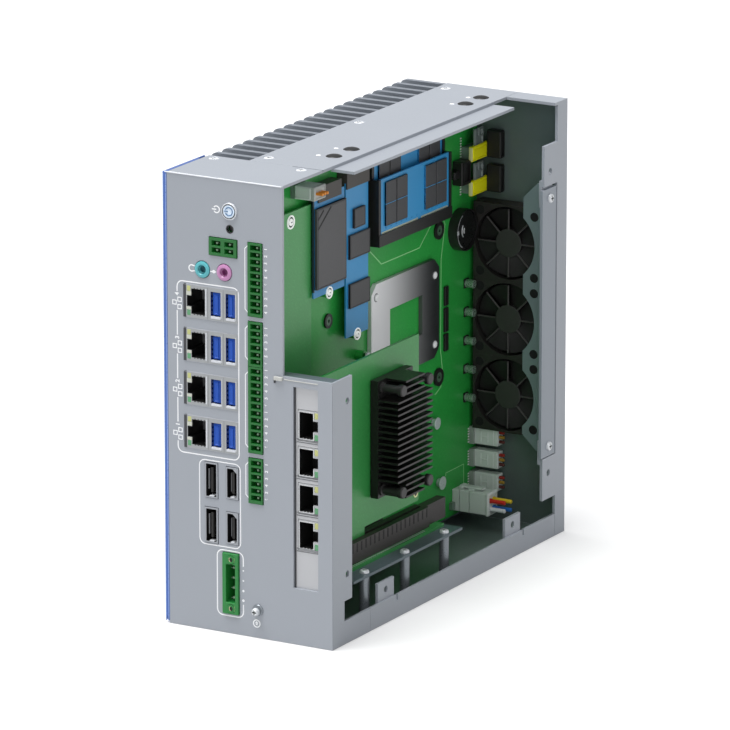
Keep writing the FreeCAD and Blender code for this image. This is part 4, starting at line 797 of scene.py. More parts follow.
class COMPUTER_OT_headers(bpy.types.Operator):
    """Dress the green pluggable headers and the power inlet"""
    bl_idname = "computer.headers"
    bl_label = "Pluggable headers"

    def execute(self, context):
        sizes, colours = settings(context)
        glowing_pockets = [((47.9, -0.4, 60), (54.4, 9, 199)), ((25, -0.4, 190.5), (41, 9, 197.9))]
        # dark: the header pockets and the inlet's well get a faint glow and a lighter green, painted light that lifts
        # the shade in these recesses
        dark = dict(colour=tint("1E7A30"), glow=0.02, rough=0.45, grain=1500, relief=0.1, drift=0.12)
        green = finish("header_green", colours.header, zones=[(glowing_pockets, dark)], rough=0.42, grain=1500, relief=0.08,
                       drift=0.08, coat=0.04)
        for node in ("gpio_header", "com_header", "can_header", "switch_header"):
            soft_copy(node, 0.00012, green)
        wear("header_pins", finish("pin_tips", tint("7C967C"), rough=0.35, metal=0.2, grain=1800, relief=0.05))
        glowing_inlet_well = [((33.6, -0.8, 16.1), (38.7, 9, 35.1))]
        inlet = finish("inlet_mould", tint("23803A"), zones=[(glowing_inlet_well, dark)], rough=0.34, grain=1500, relief=0.08,
                       drift=0.08, coat=0.04)
        soft_copy("dc_inlet", 0.00035, inlet)
        rings = []
        for z in (12.9, 37.8):
            profile = [(1.3, 6), (1.3, -0.95), (1.4, -1.1), (1.65, -1.1), (1.75, -0.95), (1.75, 2)]
            rings.append(lathe("insert", "y", (37.7, z), profile, 28))
        cream = finish("insert_cream", tint("EEF0BE"), rough=0.4, metal=0.0, grain=1500, relief=0.05, drift=0.06)
        keep(joined("insert_rings", *rings), cream)
        wear("dc_inserts", inlet)
        holes = [lathe("hole", "y", (37.7, z), [(0, -0.98), (1.34, -0.98), (1.34, -0.8)], 20) for z in (12.9, 37.8)]
        keep(joined("insert_holes", *holes),
             finish("insert_shade", tint("101A12"), rough=0.6, grain=1600, relief=0.08, drift=0.1))
        posts = []
        for k in range(4):
            z = 25.6 + 5.08 * (k - 1.5)
            posts.append(block("post", (36.3, 36.85), (1.0, 8), (z - 0.3, z + 0.3), 0.12))
        keep(joined("inlet_posts", *posts),
             finish("blade_tin", tint("55735C"), rough=0.4, metal=0.2, grain=1600, relief=0.05))
        return {"FINISHED"}


class COMPUTER_OT_buttons(bpy.types.Operator):
    """Make the lit power cap with its rings, and dress the reset cap and the sound sockets"""
    bl_idname = "computer.buttons"
    bl_label = "Buttons and sound sockets"

    def execute(self, context):
        sizes, colours = settings(context)
        cap_at = (37.0, 212.5)
        lit = finish("lit_cap", colours.glow, rough=0.3, grain=1200, relief=0.04, drift=0.03, coat=0.3, glow=0.04)
        low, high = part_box("power_button")
        face = low.y / MM + CASE_DEEP / 2
        cap = [(0, face + 0.25), (2.2, face + 0.22), (2.6, face), (2.9, face), (3.12, face + 0.2), (3.12, 3.4)]
        keep(lathe("power_cap", "y", cap_at, cap, 40), lit, "power_key", ("power_button",))
        glyph = [([at(x, face + 0.1, z) for x, z in ring_row(*cap_at, 2.0, 205, 310)], False),
                 ([at(cap_at[0] - 0.6, face + 0.1, cap_at[1]), at(cap_at[0] - 2.6, face + 0.1, cap_at[1])], False)]
        mark = ribbon("power_glyph", glyph, 0.26 * MM, 2)
        blue = finish("glyph_blue", tint("55789E"), rough=0.35, grain=1500, relief=0.05, drift=0.06)
        keep(mark, blue, "power_key")
        ring = [(3.16, 0.4), (3.16, -0.75), (3.35, -1.0), (4.05, -1.0), (4.28, -0.7), (4.28, 0.1)]
        keep(lathe("cap_ring", "y", cap_at, ring, 48), bpy.data.materials["rim_metal_and_highlight"], stands_for=("button_bezel",))
        groove = [(3.3, -1.02), (3.42, -1.06), (3.62, -1.06), (3.7, -1.0)]
        keep(lathe("cap_groove", "y", cap_at, groove, 40), black_plastic())
        reset = finish("reset_plastic", tint("2C2C2E"), rough=0.42, grain=1500, relief=0.1, drift=0.08)
        wear("reset_button", reset)
        hoop = [(1.62, 1.0), (1.62, -0.02), (1.75, -0.1), (2.1, -0.1), (2.2, 0.0)]
        keep(lathe("reset_hoop", "y", (37.0, 203.6), hoop, 36), reset)
        body = finish("sound_body", tint("202020"), rough=0.5, grain=1500, relief=0.1)
        wear("sound_block", body)
        for node, x, name, colour, hole_shade_code, slot in (("line_out_barrel", 21.4, "line_out", colours.line_out, "0F5A66", "sound_teal"),
                                            ("mic_barrel", 33.8, "microphone", colours.microphone, "762A66", "sound_pink")):
            mat = finish(name + "_plastic", colour, rough=0.34, grain=1500, relief=0.08, drift=0.06, coat=0.25)
            low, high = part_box(node)
            face = low.y / MM + CASE_DEEP / 2
            barrel = [(1.65, 5), (1.65, face + 0.9), (2.2, face + 0.5), (2.5, face), (3.3, face), (3.75, face + 0.3),
                      (4.08, face + 0.5), (4.08, 1.2)]
            keep(lathe(name + "_barrel", "y", (x, 181.7), barrel, 40), mat, stands_for=(node,))
            # The liner and floor in each barrel's hole take a darker colour than the barrel: painted shade.
            liner = [(1.8, 6), (1.8, face + 0.55), (1.86, face + 0.4)]
            deep = finish(name + "_hole_shade", tint(hole_shade_code), rough=0.45, grain=1500, relief=0.08)
            keep(lathe(name + "_liner", "y", (x, 181.7), liner, 28), deep)
            floor = [(0, face + 2.2), (0.9, face + 2.2), (1.0, face + 1.6), (1.82, face + 1.6)]
            keep(lathe(name + "_floor", "y", (x, 181.7), floor, 28), deep)
        return {"FINISHED"}


# Boards

def board_finish(name, colour, zones=(), drift=0.08):
    """Solder mask with faint copper runs under it."""
    def runs(tree, base):
        vector = place_of(tree)
        wave = add_node(tree, "TexWave", wave_type="BANDS", bands_direction="DIAGONAL", Scale=190, Distortion=9,
                        Detail=1.0, Detail_Scale=2.0)
        tree.links.new(vector, wave.inputs["Vector"])
        line = grey(tree, "MULTIPLY", grey(tree, "GREATER_THAN", wave.outputs["Fac"], 0.93), 0.3)
        lighter = tuple(min(1, c * 1.35 + 0.01) for c in colour)
        return mixed(tree, line, base, lighter)
    return finish(name, colour, zones=zones, rough=0.38, grain=1300, relief=0.04, drift=drift, coat=0.12, pattern=runs)


def chip_finish(colours):
    return finish("chip_plastic", colours.chip, rough=0.5, grain=2200, relief=0.1, drift=0.08)


def flat_ring(name, y, z, inner, outer, level, thick=0.08):
    """A flat ring on the main board."""
    return lathe(name, "x", (y, z), [(inner, level), (inner, level + thick), (outer, level + thick), (outer, level)], 36)


class COMPUTER_OT_main_board(bpy.types.Operator):
    """Dress the main board with its lines, rings, chips and parts"""
    bl_idname = "computer.main_board"
    bl_label = "Main board"

    def execute(self, context):
        sizes, colours = settings(context)
        off = BOARD + 0.12
        card_sockets = [((off, 63, 203.8), (50, 86.2, 213)), ((off, 91, 204.9), (50, 113.4, 214))]
        drive_headers = [((off, 214, low - 1), (50, 231, low + 9)) for low in (193.9, 176.0)]
        drive_headers += [((off, 45, 209), (50, 58, 218)), ((off, 205, 10), (50, 219, 23)), ((off, 226.5, 17), (48, 234, 54))]
        slot_foot = [((off, 30, 20), (61.5, 150, 32))]
        can_zone = [((off, 219, 60), (50, 226, 132))]
        warm = dict(colour=tint("45413D"), rough=0.45, grain=1500, relief=0.1, drift=0.08)
        pale = dict(colour=tint("6E8275"), rough=0.42, grain=1500, relief=0.1, drift=0.1)
        can = dict(colour=tint("8DA294"), rough=0.3, metal=0.4, grain=1300, relief=0.06, drift=0.08)
        zones = [(card_sockets, warm), (drive_headers, pale), (slot_foot, warm), (can_zone, can)]
        wear("main_board", board_finish("main_mask", colours.board, zones))
        wear("io_board", board_finish("card_mask", colours.card))
        network = board_finish("network_mask", tint("318C43"))
        for node in ("nic_board", "riser_board"):
            wear(node, network)
        wear("cpu", finish("silicon", tint("5A5F66"), rough=0.2, metal=0.4, grain=900, relief=0.04))
        level = BOARD + 0.05
        runs = [[(121.6, 168.2), (135.4, 157.4), (174.0, 157.3), (187.6, 168)],
                [(198.2, 169), (200.3, 163.7), (196.5, 146.4), (196.0, 99.4), (198.2, 88), (196.6, 79.4), (190.5, 76.6)],
                [(201.9, 30.6), (201.9, 32.3), (220.8, 32.5), (220.9, 19.8)]]
        rows = [([at(level, y, z) for y, z in row], False) for row in runs]
        lines = ribbon("board_lines", rows, sizes.trace_width * 0.65)
        flatten(lines, 0, at(level, 0, 0).x, 0.25)
        light = finish("line_green", tint("94DC94"), rough=0.35, grain=1500, relief=0.05, drift=0.08, coat=0.3)
        keep(lines, light)
        dark_rings, pads, bores = [], [], []
        for y, z in RINGS:
            outer = 3.7 if y < 100 else 4.7
            inner = 2.3 if y < 100 else 2.6
            dark_rings.append(flat_ring("ring", y, z, inner, outer, BOARD + 0.1, 1.0))
            pads.append(flat_ring("pad", y, z, 0.9, inner, BOARD + 0.3, 0.75))
        keep(joined("board_rings", *dark_rings), black_plastic())
        pad = finish("screw_pad", tint("4C6B55"), rough=0.35, metal=0.2, grain=1500, relief=0.08, drift=0.1)
        keep(joined("ring_pads", *pads), pad)
        bodies = []
        for y, z, wide, tall in ((200.9, 126.4, 4.0, 10.0), (200.9, 113.9, 4.0, 12.6), (200.9, 102.0, 4.0, 9.0)):
            chip = block("chip", (BOARD + 0.02, BOARD + 1.1), (y - wide / 2, y + wide / 2), (z - tall / 2, z + tall / 2), 0.15)
            shape(chip, facing((1, 0, 0)), inset(0.35), push((-0.08, 0, 0)))
            bodies.append(chip)
        keep(joined("board_chips", *bodies), black_plastic())
        cans, tops = [], []
        for k in range(5):
            y, z = 222.4, 67.9 + 15.1 * k
            can = [(2.15, BOARD), (2.15, BOARD + 0.7), (1.95, BOARD + 1.0), (2.15, BOARD + 1.3), (2.15, BOARD + 4.9),
                   (1.9, BOARD + 5.15), (0, BOARD + 5.15)]
            cans.append(lathe("can", "x", (y, z), can, 28))
            tops.append(block("base", (BOARD, BOARD + 0.6), (y - 2.5, y + 2.5), (z - 2.5, z + 2.5), 0.5))
        silver = finish("can_metal", tint("8FA897"), rough=0.28, metal=0.6, grain=1200, relief=0.05, drift=0.08)
        keep(joined("capacitors", *cans), silver)
        keep(joined("capacitor_feet", *tops), black_plastic())
        pins = []
        for high, count in ((205.4, 8), (181.6, 5)):
            for k in range(count):
                z = high - 1.37 * k
                pins.append(block("pin", (BOARD, BOARD + 0.35), (215.6, 216.9), (z - 0.36, z + 0.36), 0.1, 1))
        for k in range(3):
            for n in range(6):
                z = 19.2 + 12 * k + 1.4 * n
                pins.append(block("pin", (BOARD, BOARD + 0.35), (225.0, 226.2), (z - 0.36, z + 0.36), 0.1, 1))
        white = finish("pin_white", tint("E4E6E2"), rough=0.4, grain=1800, relief=0.06)
        keep(joined("pin_rows", *pins), white)
        sounder = block("sounder", (BOARD, 49.5), (207.6, 216.4), (182.6, 195.2), 0.6, 3)
        shape(sounder, facing((1, 0, 0)), inset(1.6), push((0.5, 0, 0)), inset(1.2), push((-0.7, 0, 0)))
        arm = block("sounder_arm", (BOARD, 47.5), (203.6, 208), (186.4, 190.6), 0.5, 3)
        shape(arm, facing((0, -1, 0)), inset(0.8), push((0, 0.4, 0)))
        keep(joined("sounder", sounder, arm), black_plastic())
        return {"FINISHED"}


class COMPUTER_OT_processor(bpy.types.Operator):
    """Brush the processor's plate, with a painted reflection running from light to dark across it, and dress the block
    and the spacers behind it
    """
    bl_idname = "computer.processor"
    bl_label = "Processor plate"

    def execute(self, context):
        # The plate's colour runs from near white to near black across it: a painted reflection.
        def sweep(tree, base):
            split = add_node(tree, "SeparateXYZ")
            tree.links.new(place_of(tree), split.inputs[0])
            ramp = add_node(tree, "MapRange", interpolation_type="SMOOTHSTEP")
            for socket, value in zip(ramp.inputs[1:5], (at(0, 112, 0).y, at(0, 188, 0).y, 0.0, 1.0)):
                socket.default_value = value
            tree.links.new(split.outputs[1], ramp.inputs[0])
            return mixed(tree, ramp.outputs[0], tint("F4F4F6"), tint("2A2C2D"))
        steel = finish("brushed_plate_painted_reflection", tint("6E7175"), rough=0.34, metal=0.1, grain=2600, relief=0.015, drift=0.03,
                       stretch=(1, 0.04, 1), pattern=sweep)
        soft_copy("cpu_backplate", 0.0003, steel)
        block_metal = finish("block_copper", tint("B89C86"), rough=0.32, metal=0.7, grain=1200, relief=0.08)
        wear("thermal_block", block_metal)
        post = finish("post_metal", tint("8A9096"), rough=0.3, metal=0.5, grain=1500, relief=0.02, drift=0.05)
        wear("standoffs", post)
        discs, rings = [], []
        for y, z in ((126.2, 104.85), (126.2, 142.4), (185.8, 104.6), (185.8, 140.8)):
            disc = [(0, 46.75), (1.4, 46.75), (1.7, 46.55), (1.8, 46.3), (1.8, 45.9)]
            discs.append(lathe("plate_screw", "x", (y, z), disc, 28))
            rings.append(lathe("plate_ring", "x", (y, z), [(1.8, 46.08), (2.2, 46.08), (2.25, 46.0)], 28))
        white = finish("plate_screw_white", tint("F4F5F6"), rough=0.4, metal=0.05, grain=1600, relief=0.06)
        keep(joined("plate_screws", *discs), white)
        keep(joined("plate_rings", *rings),
             finish("plate_ring_shade", tint("6A6C70"), rough=0.45, grain=1600, relief=0.06))
        return {"FINISHED"}


def chip_row(name, x, spots, inlay=0.35):
    """Moulded packages with a sunk face."""
    made = []
    for (y0, y1), (z0, z1) in spots:
        chip = block(name, x, (y0, y1), (z0, z1), 0.14)
        shape(chip, facing((1, 0, 0)), inset(inlay), push((-0.06, 0, 0)))
        made.append(chip)
    return joined(name, *made)


class COMPUTER_OT_memory(bpy.types.Operator):
    """Dress the two memory modules, their sockets and their contacts"""
    bl_idname = "computer.memory"
    bl_label = "Memory"

    def execute(self, context):
        sizes, colours = settings(context)
        mask = finish("module_mask", colours.module, rough=0.4, grain=1400, relief=0.05, drift=0.1, coat=0.06)
        dark = chip_finish(colours)
        gold = finish("gold_edge", tint("EDE6B4"), rough=0.3, metal=0.45, grain=1800, relief=0.05, drift=0.05)
        for k, (face, low) in enumerate(((52.0, 174.8), (48.1, 195.4)), 1):
            wear(f"sodimm_{k}", mask)
            wear(f"sodimm_socket_{k}", black_plastic())
            spots = [((y, y + 10.5), (low + 5.6, low + 28)) for y in (124, 135.1, 164, 175.1)]
            halves = [((a, b), part) for (a, b), (c, d) in spots for part in ((c, (c + d) / 2 - 0.13), ((c + d) / 2 + 0.13, d))]
            keep(chip_row(f"module_chips_{k}", (face - 0.1, face + 0.98), halves), dark)
            fingers = []
            for n in range(88):
                y = 121.2 + 0.76 * n
                if abs(y - 158.5) > 1.5:
                    fingers.append(block("finger", (face - 0.02, face + 0.06), (y, y + 0.45), (low + 1.9, low + 2.9), 0))
            fine = joined(f"module_contacts_{k}", *fingers)
            shape(fine, facing((1, 0, 0)), inset(0.04, 0.01))
            keep(fine, gold)
            small = []
            for n in range(12):
                y = 125 + 5.2 * n
                z = low + 4.2
                small.append(block("part", (face, face + 0.35), (y, y + 0.9), (z, z + 0.45), 0.06, 1))
            keep(joined(f"module_parts_{k}", *small), mask)
        return {"FINISHED"}


class COMPUTER_OT_small_cards(bpy.types.Operator):
    """Dress the two small cards and the coin cell"""
    bl_idname = "computer.small_cards"
    bl_label = "Small cards and coin cell"

    def execute(self, context):
        sizes, colours = settings(context)
        shield_box = [((48.9, 61.7, 161.0), (51, 89.2, 202.3))]
        chip_boxes = [((48.9, 93.0, 144.3), (51, 113, 157)), ((48.9, 93, 169.3), (51, 113, 182)),
                      ((48.9, 97.3, 184.3), (51, 108.4, 194.5))]
        dark = dict(colour=tuple(colours.chip), rough=0.42, metal=0.1, grain=1500, relief=0.08, drift=0.08)
        mask = dict(rough=0.4, grain=1400, relief=0.04, drift=0.08, coat=0.05)
        # side: the modem's edge strip is painted dark teal, painted shade
        side = dict(colour=tint("15303C"), rough=0.5, grain=1500, relief=0.08, drift=0.08)
        wear("m2_modem", finish("modem_mask_and_edge_shade", tint("2C88C0"), zones=[([((47, 55, 160), (49.2, 60.5, 210))], side),
                                                                     (shield_box, dark)], **mask))
        wear("m2_ssd", finish("drive_mask", colours.module, zones=[(chip_boxes, dark)], **mask))
        lid = block("modem_lid", (48.95, 50.38), (60.6, 89.2), (161.2, 202.0), 0.15)
        shape(lid, facing((1, 0, 0)), inset(0.7), push((0.1, 0, 0)))
        keep(lid, finish("lid_metal", tint("4E4E50"), rough=0.4, metal=0.1, grain=1300, relief=0.08))
        slots = [([at(50.44, *low), at(50.44, *high)], False) for low, high in
                 (((61.2, 191.6), (74.0, 200.9)), ((61.2, 196.4), (66.8, 200.5)))]
        cuts = ribbon("lid_slots", slots, 0.62 * MM)
        flatten(cuts, 0, at(50.48, 0, 0).x, 0.15)
        keep(cuts, finish("slot_shade", tint("0C0C0D"), rough=0.6, grain=1800, relief=0.05))
        packages = [((93.2, 112.8), (144.5, 156.8)), ((93.2, 112.8), (169.5, 181.7)), ((97.5, 108.2), (184.5, 194.3))]
        keep(chip_row("drive_chips", (49.4, 50.25), packages, 0.5), chip_finish(colours))
        # The cell's steel face is painted dark, a painted reflection of the shaded inside; the pale arcs on it are
        # painted highlights.
        cell = [(0, 48.15), (8.2, 48.15), (8.5, 48.02), (9.3, 48.02), (9.6, 48.2), (9.98, 47.8), (9.98, 45)]
        keep(lathe("coin_face", "x", (214.4, 158.6), cell, 48),
             finish("cell_dark_painted_reflection", tint("232524"), rough=0.3, metal=0.5, grain=1200, relief=0.03, drift=0.05))
        highlight_arcs = []
        for radius, start, sweep in ((9.4, 118, 124), (4.6, 140, 80), (2.6, 150, 60)):
            row = [at(48.35, 214.4 + y, 158.6 + z) for y, z in ring_row(0, 0, radius, start, sweep, 14)]
            highlight_arcs.append((row, False))
        keep(ribbon("coin_highlight_arcs", highlight_arcs, 0.32 * MM, 2), bright_metal())
        wear("coin_cell", bpy.data.materials["cell_dark_painted_reflection"])
        wear("coin_cell_holder", black_plastic())
        clip = block("clip", (47.6, 49.2), (203.6, 205.4), (157.6, 160.0), 0.3)
        shape(clip, facing((1, 0, 0)), inset(0.5), push((0.15, 0, 0)))
        keep(clip, bright_metal())
        return {"FINISHED"}


# Plugs and leads

class COMPUTER_OT_plugs(bpy.types.Operator):
    """Make the drive plugs, the big four-wire plug and the grey lead plugs"""
    bl_idname = "computer.plugs"
    bl_label = "Plugs and leads"

    def execute(self, context):
        sizes, colours = settings(context)
        yellow = finish("collar_yellow", colours.collar, rough=0.5, grain=1400, relief=0.08, drift=0.07)
        pale = finish("plug_pale", tint("D8D79A"), rough=0.38, grain=1400, relief=0.08, drift=0.05)
        metal = finish("latch_metal", tint("7E8886"), rough=0.36, metal=0.3, grain=1400, relief=0.03, drift=0.06)
        black = finish("plug_shade_block", tint("121413"), rough=0.55, grain=1500, relief=0.1, drift=0.08)
        for k, low in enumerate((193.9, 176.0), 1):
            collar = block("collar", (48.9, 50.75), (215.6, 232.8), (low, low + 7.7), 0.25)
            shape(collar, facing((1, 0, 0)), inset(0.9), push((-0.2, 0, 0)))
            shape(collar, lambda middle, normal: normal.x > 0.9 and middle.x < 50.6, inset(0.8), push((0.3, 0, 0)))
            edge = block("edge", (48.9, 50.9), (215.3, 216.4), (low + 0.3, low + 7.4), 0.3)
            latch = block("latch", (48.9, 49.85), (219.8, 229.2), (low + 6.7, low + 16.1), 0.2)
            shape(latch, facing((1, 0, 0)), inset(1.2), push((-0.35, 0, 0)))
            hook = ribbon("hook", [([at(49.9, 224, low + 16.0), at(49.9, 224, low + 12.6), at(49.9, 227.6, low + 11.4),
                                     at(49.9, 228.9, low + 13.6)], False)], 0.45 * MM, 2)
            # A black block behind each drive plug, where the rear wall shows shade and the plug's reflection: painted
            # shade and reflection.
            shade_block = block("shade_block", (50.7, 59.1), (230.6, 235.2), (low - 0.4, low + 14), 0.8, 3)
            shape(shade_block, facing((1, 0, 0)), inset(0.9), push((-0.5, 0, 0)))
            keep(joined(f"drive_collar_{k}", collar), yellow, stands_for=(f"sata_plug_{k}",))
            keep(joined(f"drive_edge_{k}", edge), pale)
            keep(joined(f"drive_latch_{k}", latch, hook), metal)
            keep(joined(f"drive_shade_block_{k}", shade_block), black)
        grey_plastic = finish("lead_grey", colours.plug, rough=0.42, grain=1500, relief=0.1, drift=0.07)
        body = block("power_body", (43.6, 63.9), (208.6, 218), (10.8, 22.2), 0.5, 3)
        for x in (47.6, 53.4):
            seam = block("seam", (x, x + 0.6), (208.35, 218.2), (10.6, 22.4), 0.1, 1)
            modify(body, "BOOLEAN", operation="DIFFERENCE", object=seam, solver="EXACT")
            bpy.data.objects.remove(seam)
        rim = block("rim", (63.4, 65), (208.2, 218.4), (10.4, 22.6), 0.5, 3)
        shape(rim, facing((1, 0, 0)), inset(1.0), push((-0.6, 0, 0)))
        arm = block("arm", (47.5, 60), (211.4, 215.2), (22.9, 24.0), 0.35)
        foot = block("foot", (51.5, 55), (211.6, 215.0), (21.8, 23.2), 0.2)
        nose = block("nose", (46.6, 48.6), (211.0, 215.6), (22.2, 24.3), 0.4)
        keep(joined("power_body", body, rim, arm, foot, nose), grey_plastic, stands_for=("power_plug",))
        leads = ((215.0, 18.2, "E3C529", "yellow"), (215.0, 13.8, "2F6FC4", "blue"), (211.2, 18.2, "CC2B22", "red"),
                 (211.2, 13.8, "DFE3E6", "white"))
        radius = sizes.wire_radius / MM
        for y, z, code, name in leads:
            end = 73.4 if y < 213 else 75.0
            wire = [(radius + 0.25, 63.2), (radius + 0.25, 65.4), (radius, 65.8), (radius, end - 0.3), (radius - 0.25, end),
                    (0, end)]
            mat = finish(name + "_lead", tint(code), rough=0.4, grain=1300, relief=0.12, drift=0.08, stretch=(0.2, 1, 1))
            keep(lathe(name + "_wire", "x", (y, z), wire, 20), mat)
        bodies, bases, tails = [], [], {"red": [], "yellow": [], "blue": []}
        for k in range(3):
            low = 18.2 + 12 * k
            plug = block("plug", (45.6, 59.8), (227.6, 233.4), (low, low + 9), 0.45, 3)
            shape(plug, facing((1, 0, 0)), inset(0.8), push((-0.5, 0, 0)))
            for x, z0, z1 in (((49.6, 50.2), 1.6, 7.4), ((53.6, 54.2), 1.6, 7.4), ((50.2, 53.6), 4.0, 4.6),
                              ((56.8, 57.4), 0.4, 8.6)):
                bodies.append(block("rib", x, (227.3, 227.9), (low + z0, low + z1), 0.15, 1))
            bodies.append(plug)
            bases.append(block("base", (43.6, 46.4), (226.4, 233.5), (low - 0.2, low + 9.2), 0.3))
            for rise, name in ((2, "blue"), (4.5, "yellow"), (7, "red")):
                stub = [(0.85, 59.0), (0.85, 61.9), (0.65, 62.2), (0, 62.2)]
                tails[name].append(lathe("tail", "x", (230.5, low + rise), stub, 16))
        aux = block("aux", (46, 55.6), (46, 57), (210, 216.8), 0.5, 3)
        shape(aux, facing((0, -1, 0)), inset(0.8), push((0, 0.25, 0)))
        keep(joined("lead_plugs_body", *bodies, aux), grey_plastic, stands_for=("lead_plugs",))
        white_end = block("aux_end", (55.4, 57.5), (45.9, 57.1), (209.9, 216.9), 0.5, 3)
        shape(white_end, facing((1, 0, 0)), inset(0.7), push((-0.3, 0, 0)))
        keep(white_end, finish("aux_white", tint("B4B8B4"), rough=0.4, grain=1500, relief=0.08))
        keep(joined("lead_plug_bases", *bases),
             finish("base_white", tint("8F9A92"), rough=0.42, grain=1500, relief=0.08))
        for name, code in (("red", "9E2A22"), ("yellow", "A8862C"), ("blue", "5A2A26")):
            mat = finish(name + "_tail", tint(code), rough=0.45, grain=1300, relief=0.12, drift=0.08)
            keep(joined(name + "_tails", *tails[name]), mat)
        ends = []
        for y in (48.4, 50.8, 53.2):
            ends.append(lathe("tail", "x", (y, 213.4), [(0.8, 57.2), (0.8, 60.7), (0.6, 60.9), (0, 60.9)], 16))
        orange = finish("orange_lead", tint("E08A2C"), rough=0.4, grain=1300, relief=0.12, drift=0.08)
        keep(joined("aux_tails", *ends), orange)
        return {"FINISHED"}


# Fans

class COMPUTER_OT_fans(bpy.types.Operator):
    """Make the turning part of each fan and dress the frames"""
    bl_idname = "computer.fans"
    bl_label = "Fans"

    def execute(self, context):
        sizes, colours = settings(context)
        plastic = finish("fan_plastic", colours.fan, rough=0.5, grain=1300, relief=0.12, drift=0.1)
        blade_mat = finish("blade_plastic", tint("141212"), rough=0.6, grain=1100, relief=0.06, drift=0.08)
        foam = finish("screen_foam", tint("151616"), rough=0.8, grain=1600, relief=0.2, drift=0.1)
        for k, z in enumerate(FAN_ROWS, 1):
            soft_copy(f"fan_frame_{k}", 0.0003, plastic)
        z = FAN_ROWS[0]
        for k, row in enumerate(FAN_ROWS, 1):
            weave = [(0, 235.1)]
            for n in range(12):
                weave += [(1.6 * n + 0.8, 235.1), (1.6 * n + 1.1, 235.3), (1.6 * n + 1.4, 235.1)]
            weave += [(19.6, 235.1), (19.6, 235.45), (0, 235.45)]
            keep(lathe(f"fan_screen_{k}", "y", (FAN_X, row), weave, 32), foam)
        hub = [(0, 226.3), (7.2, 226.3), (7.4, 226.4), (7.5, 226.6), (7.5, 232.6), (7.1, 233.0), (0, 233.0)]
        hub_piece = lathe("hub", "y", (FAN_X, z), hub, 48)
        blades = []
        for n in range(sizes.blade_count):
            blade = block("blade", (FAN_X + 7.2, FAN_X + 17.9), (226.7, 227.5), (z - 0.5, z + 0.5), 0)
            shape(blade, everywhere, (bpy.ops.mesh.subdivide, {"number_cuts": 7}))
            middle = at(FAN_X, 0, z)
            sector = math.tau / sizes.blade_count
            for vertex in blade.data.vertices:
                reach, along = vertex.co.x - middle.x, vertex.co.z - middle.z
                share = 0.5 - along / MM
                outward = (reach / MM - 7.2) / 10.7
                turn = sector * (n + share * 0.93) + sizes.blade_twist * outward
                vertex.co = (middle.x + reach * math.cos(turn), vertex.co.y + 2.2 * MM * share,
                             middle.z + reach * math.sin(turn))
            blades.append(blade)
        # Grey beads along the blades' leading edges: painted highlights.
        leads = []
        for n in range(sizes.blade_count):
            turn = Vector((math.cos(math.tau * n / sizes.blade_count), 0, math.sin(math.tau * n / sizes.blade_count)))
            leads.append(([middle + Vector((0, 226.45 * MM, 0)) + turn * r * MM for r in (7.2, 12.5, 17.8)], False))
        edge_highlights = ribbon("fan_edge_highlights_1", leads, 0.48 * MM, 2)
        fan = joined("fan_blades_1", *blades)
        modify(fan, "BEVEL", width=0.00012, segments=2, limit_method="ANGLE", angle_limit=math.radians(40))
        fan = joined("fan_blades_1", fan, hub_piece)
        bodies = ("rotor_low", "rotor_mid", "rotor_high")
        keep(fan, blade_mat, bodies[0], ("fan_rotor_1",))
        rim = finish("blade_edge_highlight", tint("434140"), rough=0.4, grain=1300, relief=0.05, drift=0.06)
        keep(edge_highlights, rim, bodies[0])
        for k in (1, 2):
            keep(copy_of(edge_highlights, (0, 0, FAN_ROWS[k] - z), name=f"fan_edge_highlights_{k + 1}"), None, bodies[k])
            twin = copy_of(fan, (0, 0, FAN_ROWS[k] - z), name=f"fan_blades_{k + 1}")
            keep(twin, None, bodies[k], (f"fan_rotor_{k + 1}",))
        seat = finish("hub_face", tint("343532"), rough=0.5, grain=1500, relief=0.08, drift=0.06)
        for k, row in enumerate(FAN_ROWS):
            face = lathe(f"hub_face_{k + 1}", "y", (FAN_X, row), [(0, 226.15), (1.0, 226.15), (7.0, 226.15), (7.35, 226.35)], 40)
            keep(face, seat, bodies[k])
        bores = []
        for row in FAN_ROWS:
            for x, level in ((FAN_X - 16, 225.42), (FAN_X + 16, 224.22)):
                for height in (row - 16, row + 16):
                    bores.append(lathe("bore", "y", (x, height), [(0, level), (2.3, level), (2.4, level + 0.1)], 28))
        dark = finish("bore_shade", tint("040606"), rough=0.8, grain=1500, relief=0.05, drift=0.1)
        keep(joined("fan_bores", *bores), dark)
        return {"FINISHED"}


# Network card and riser

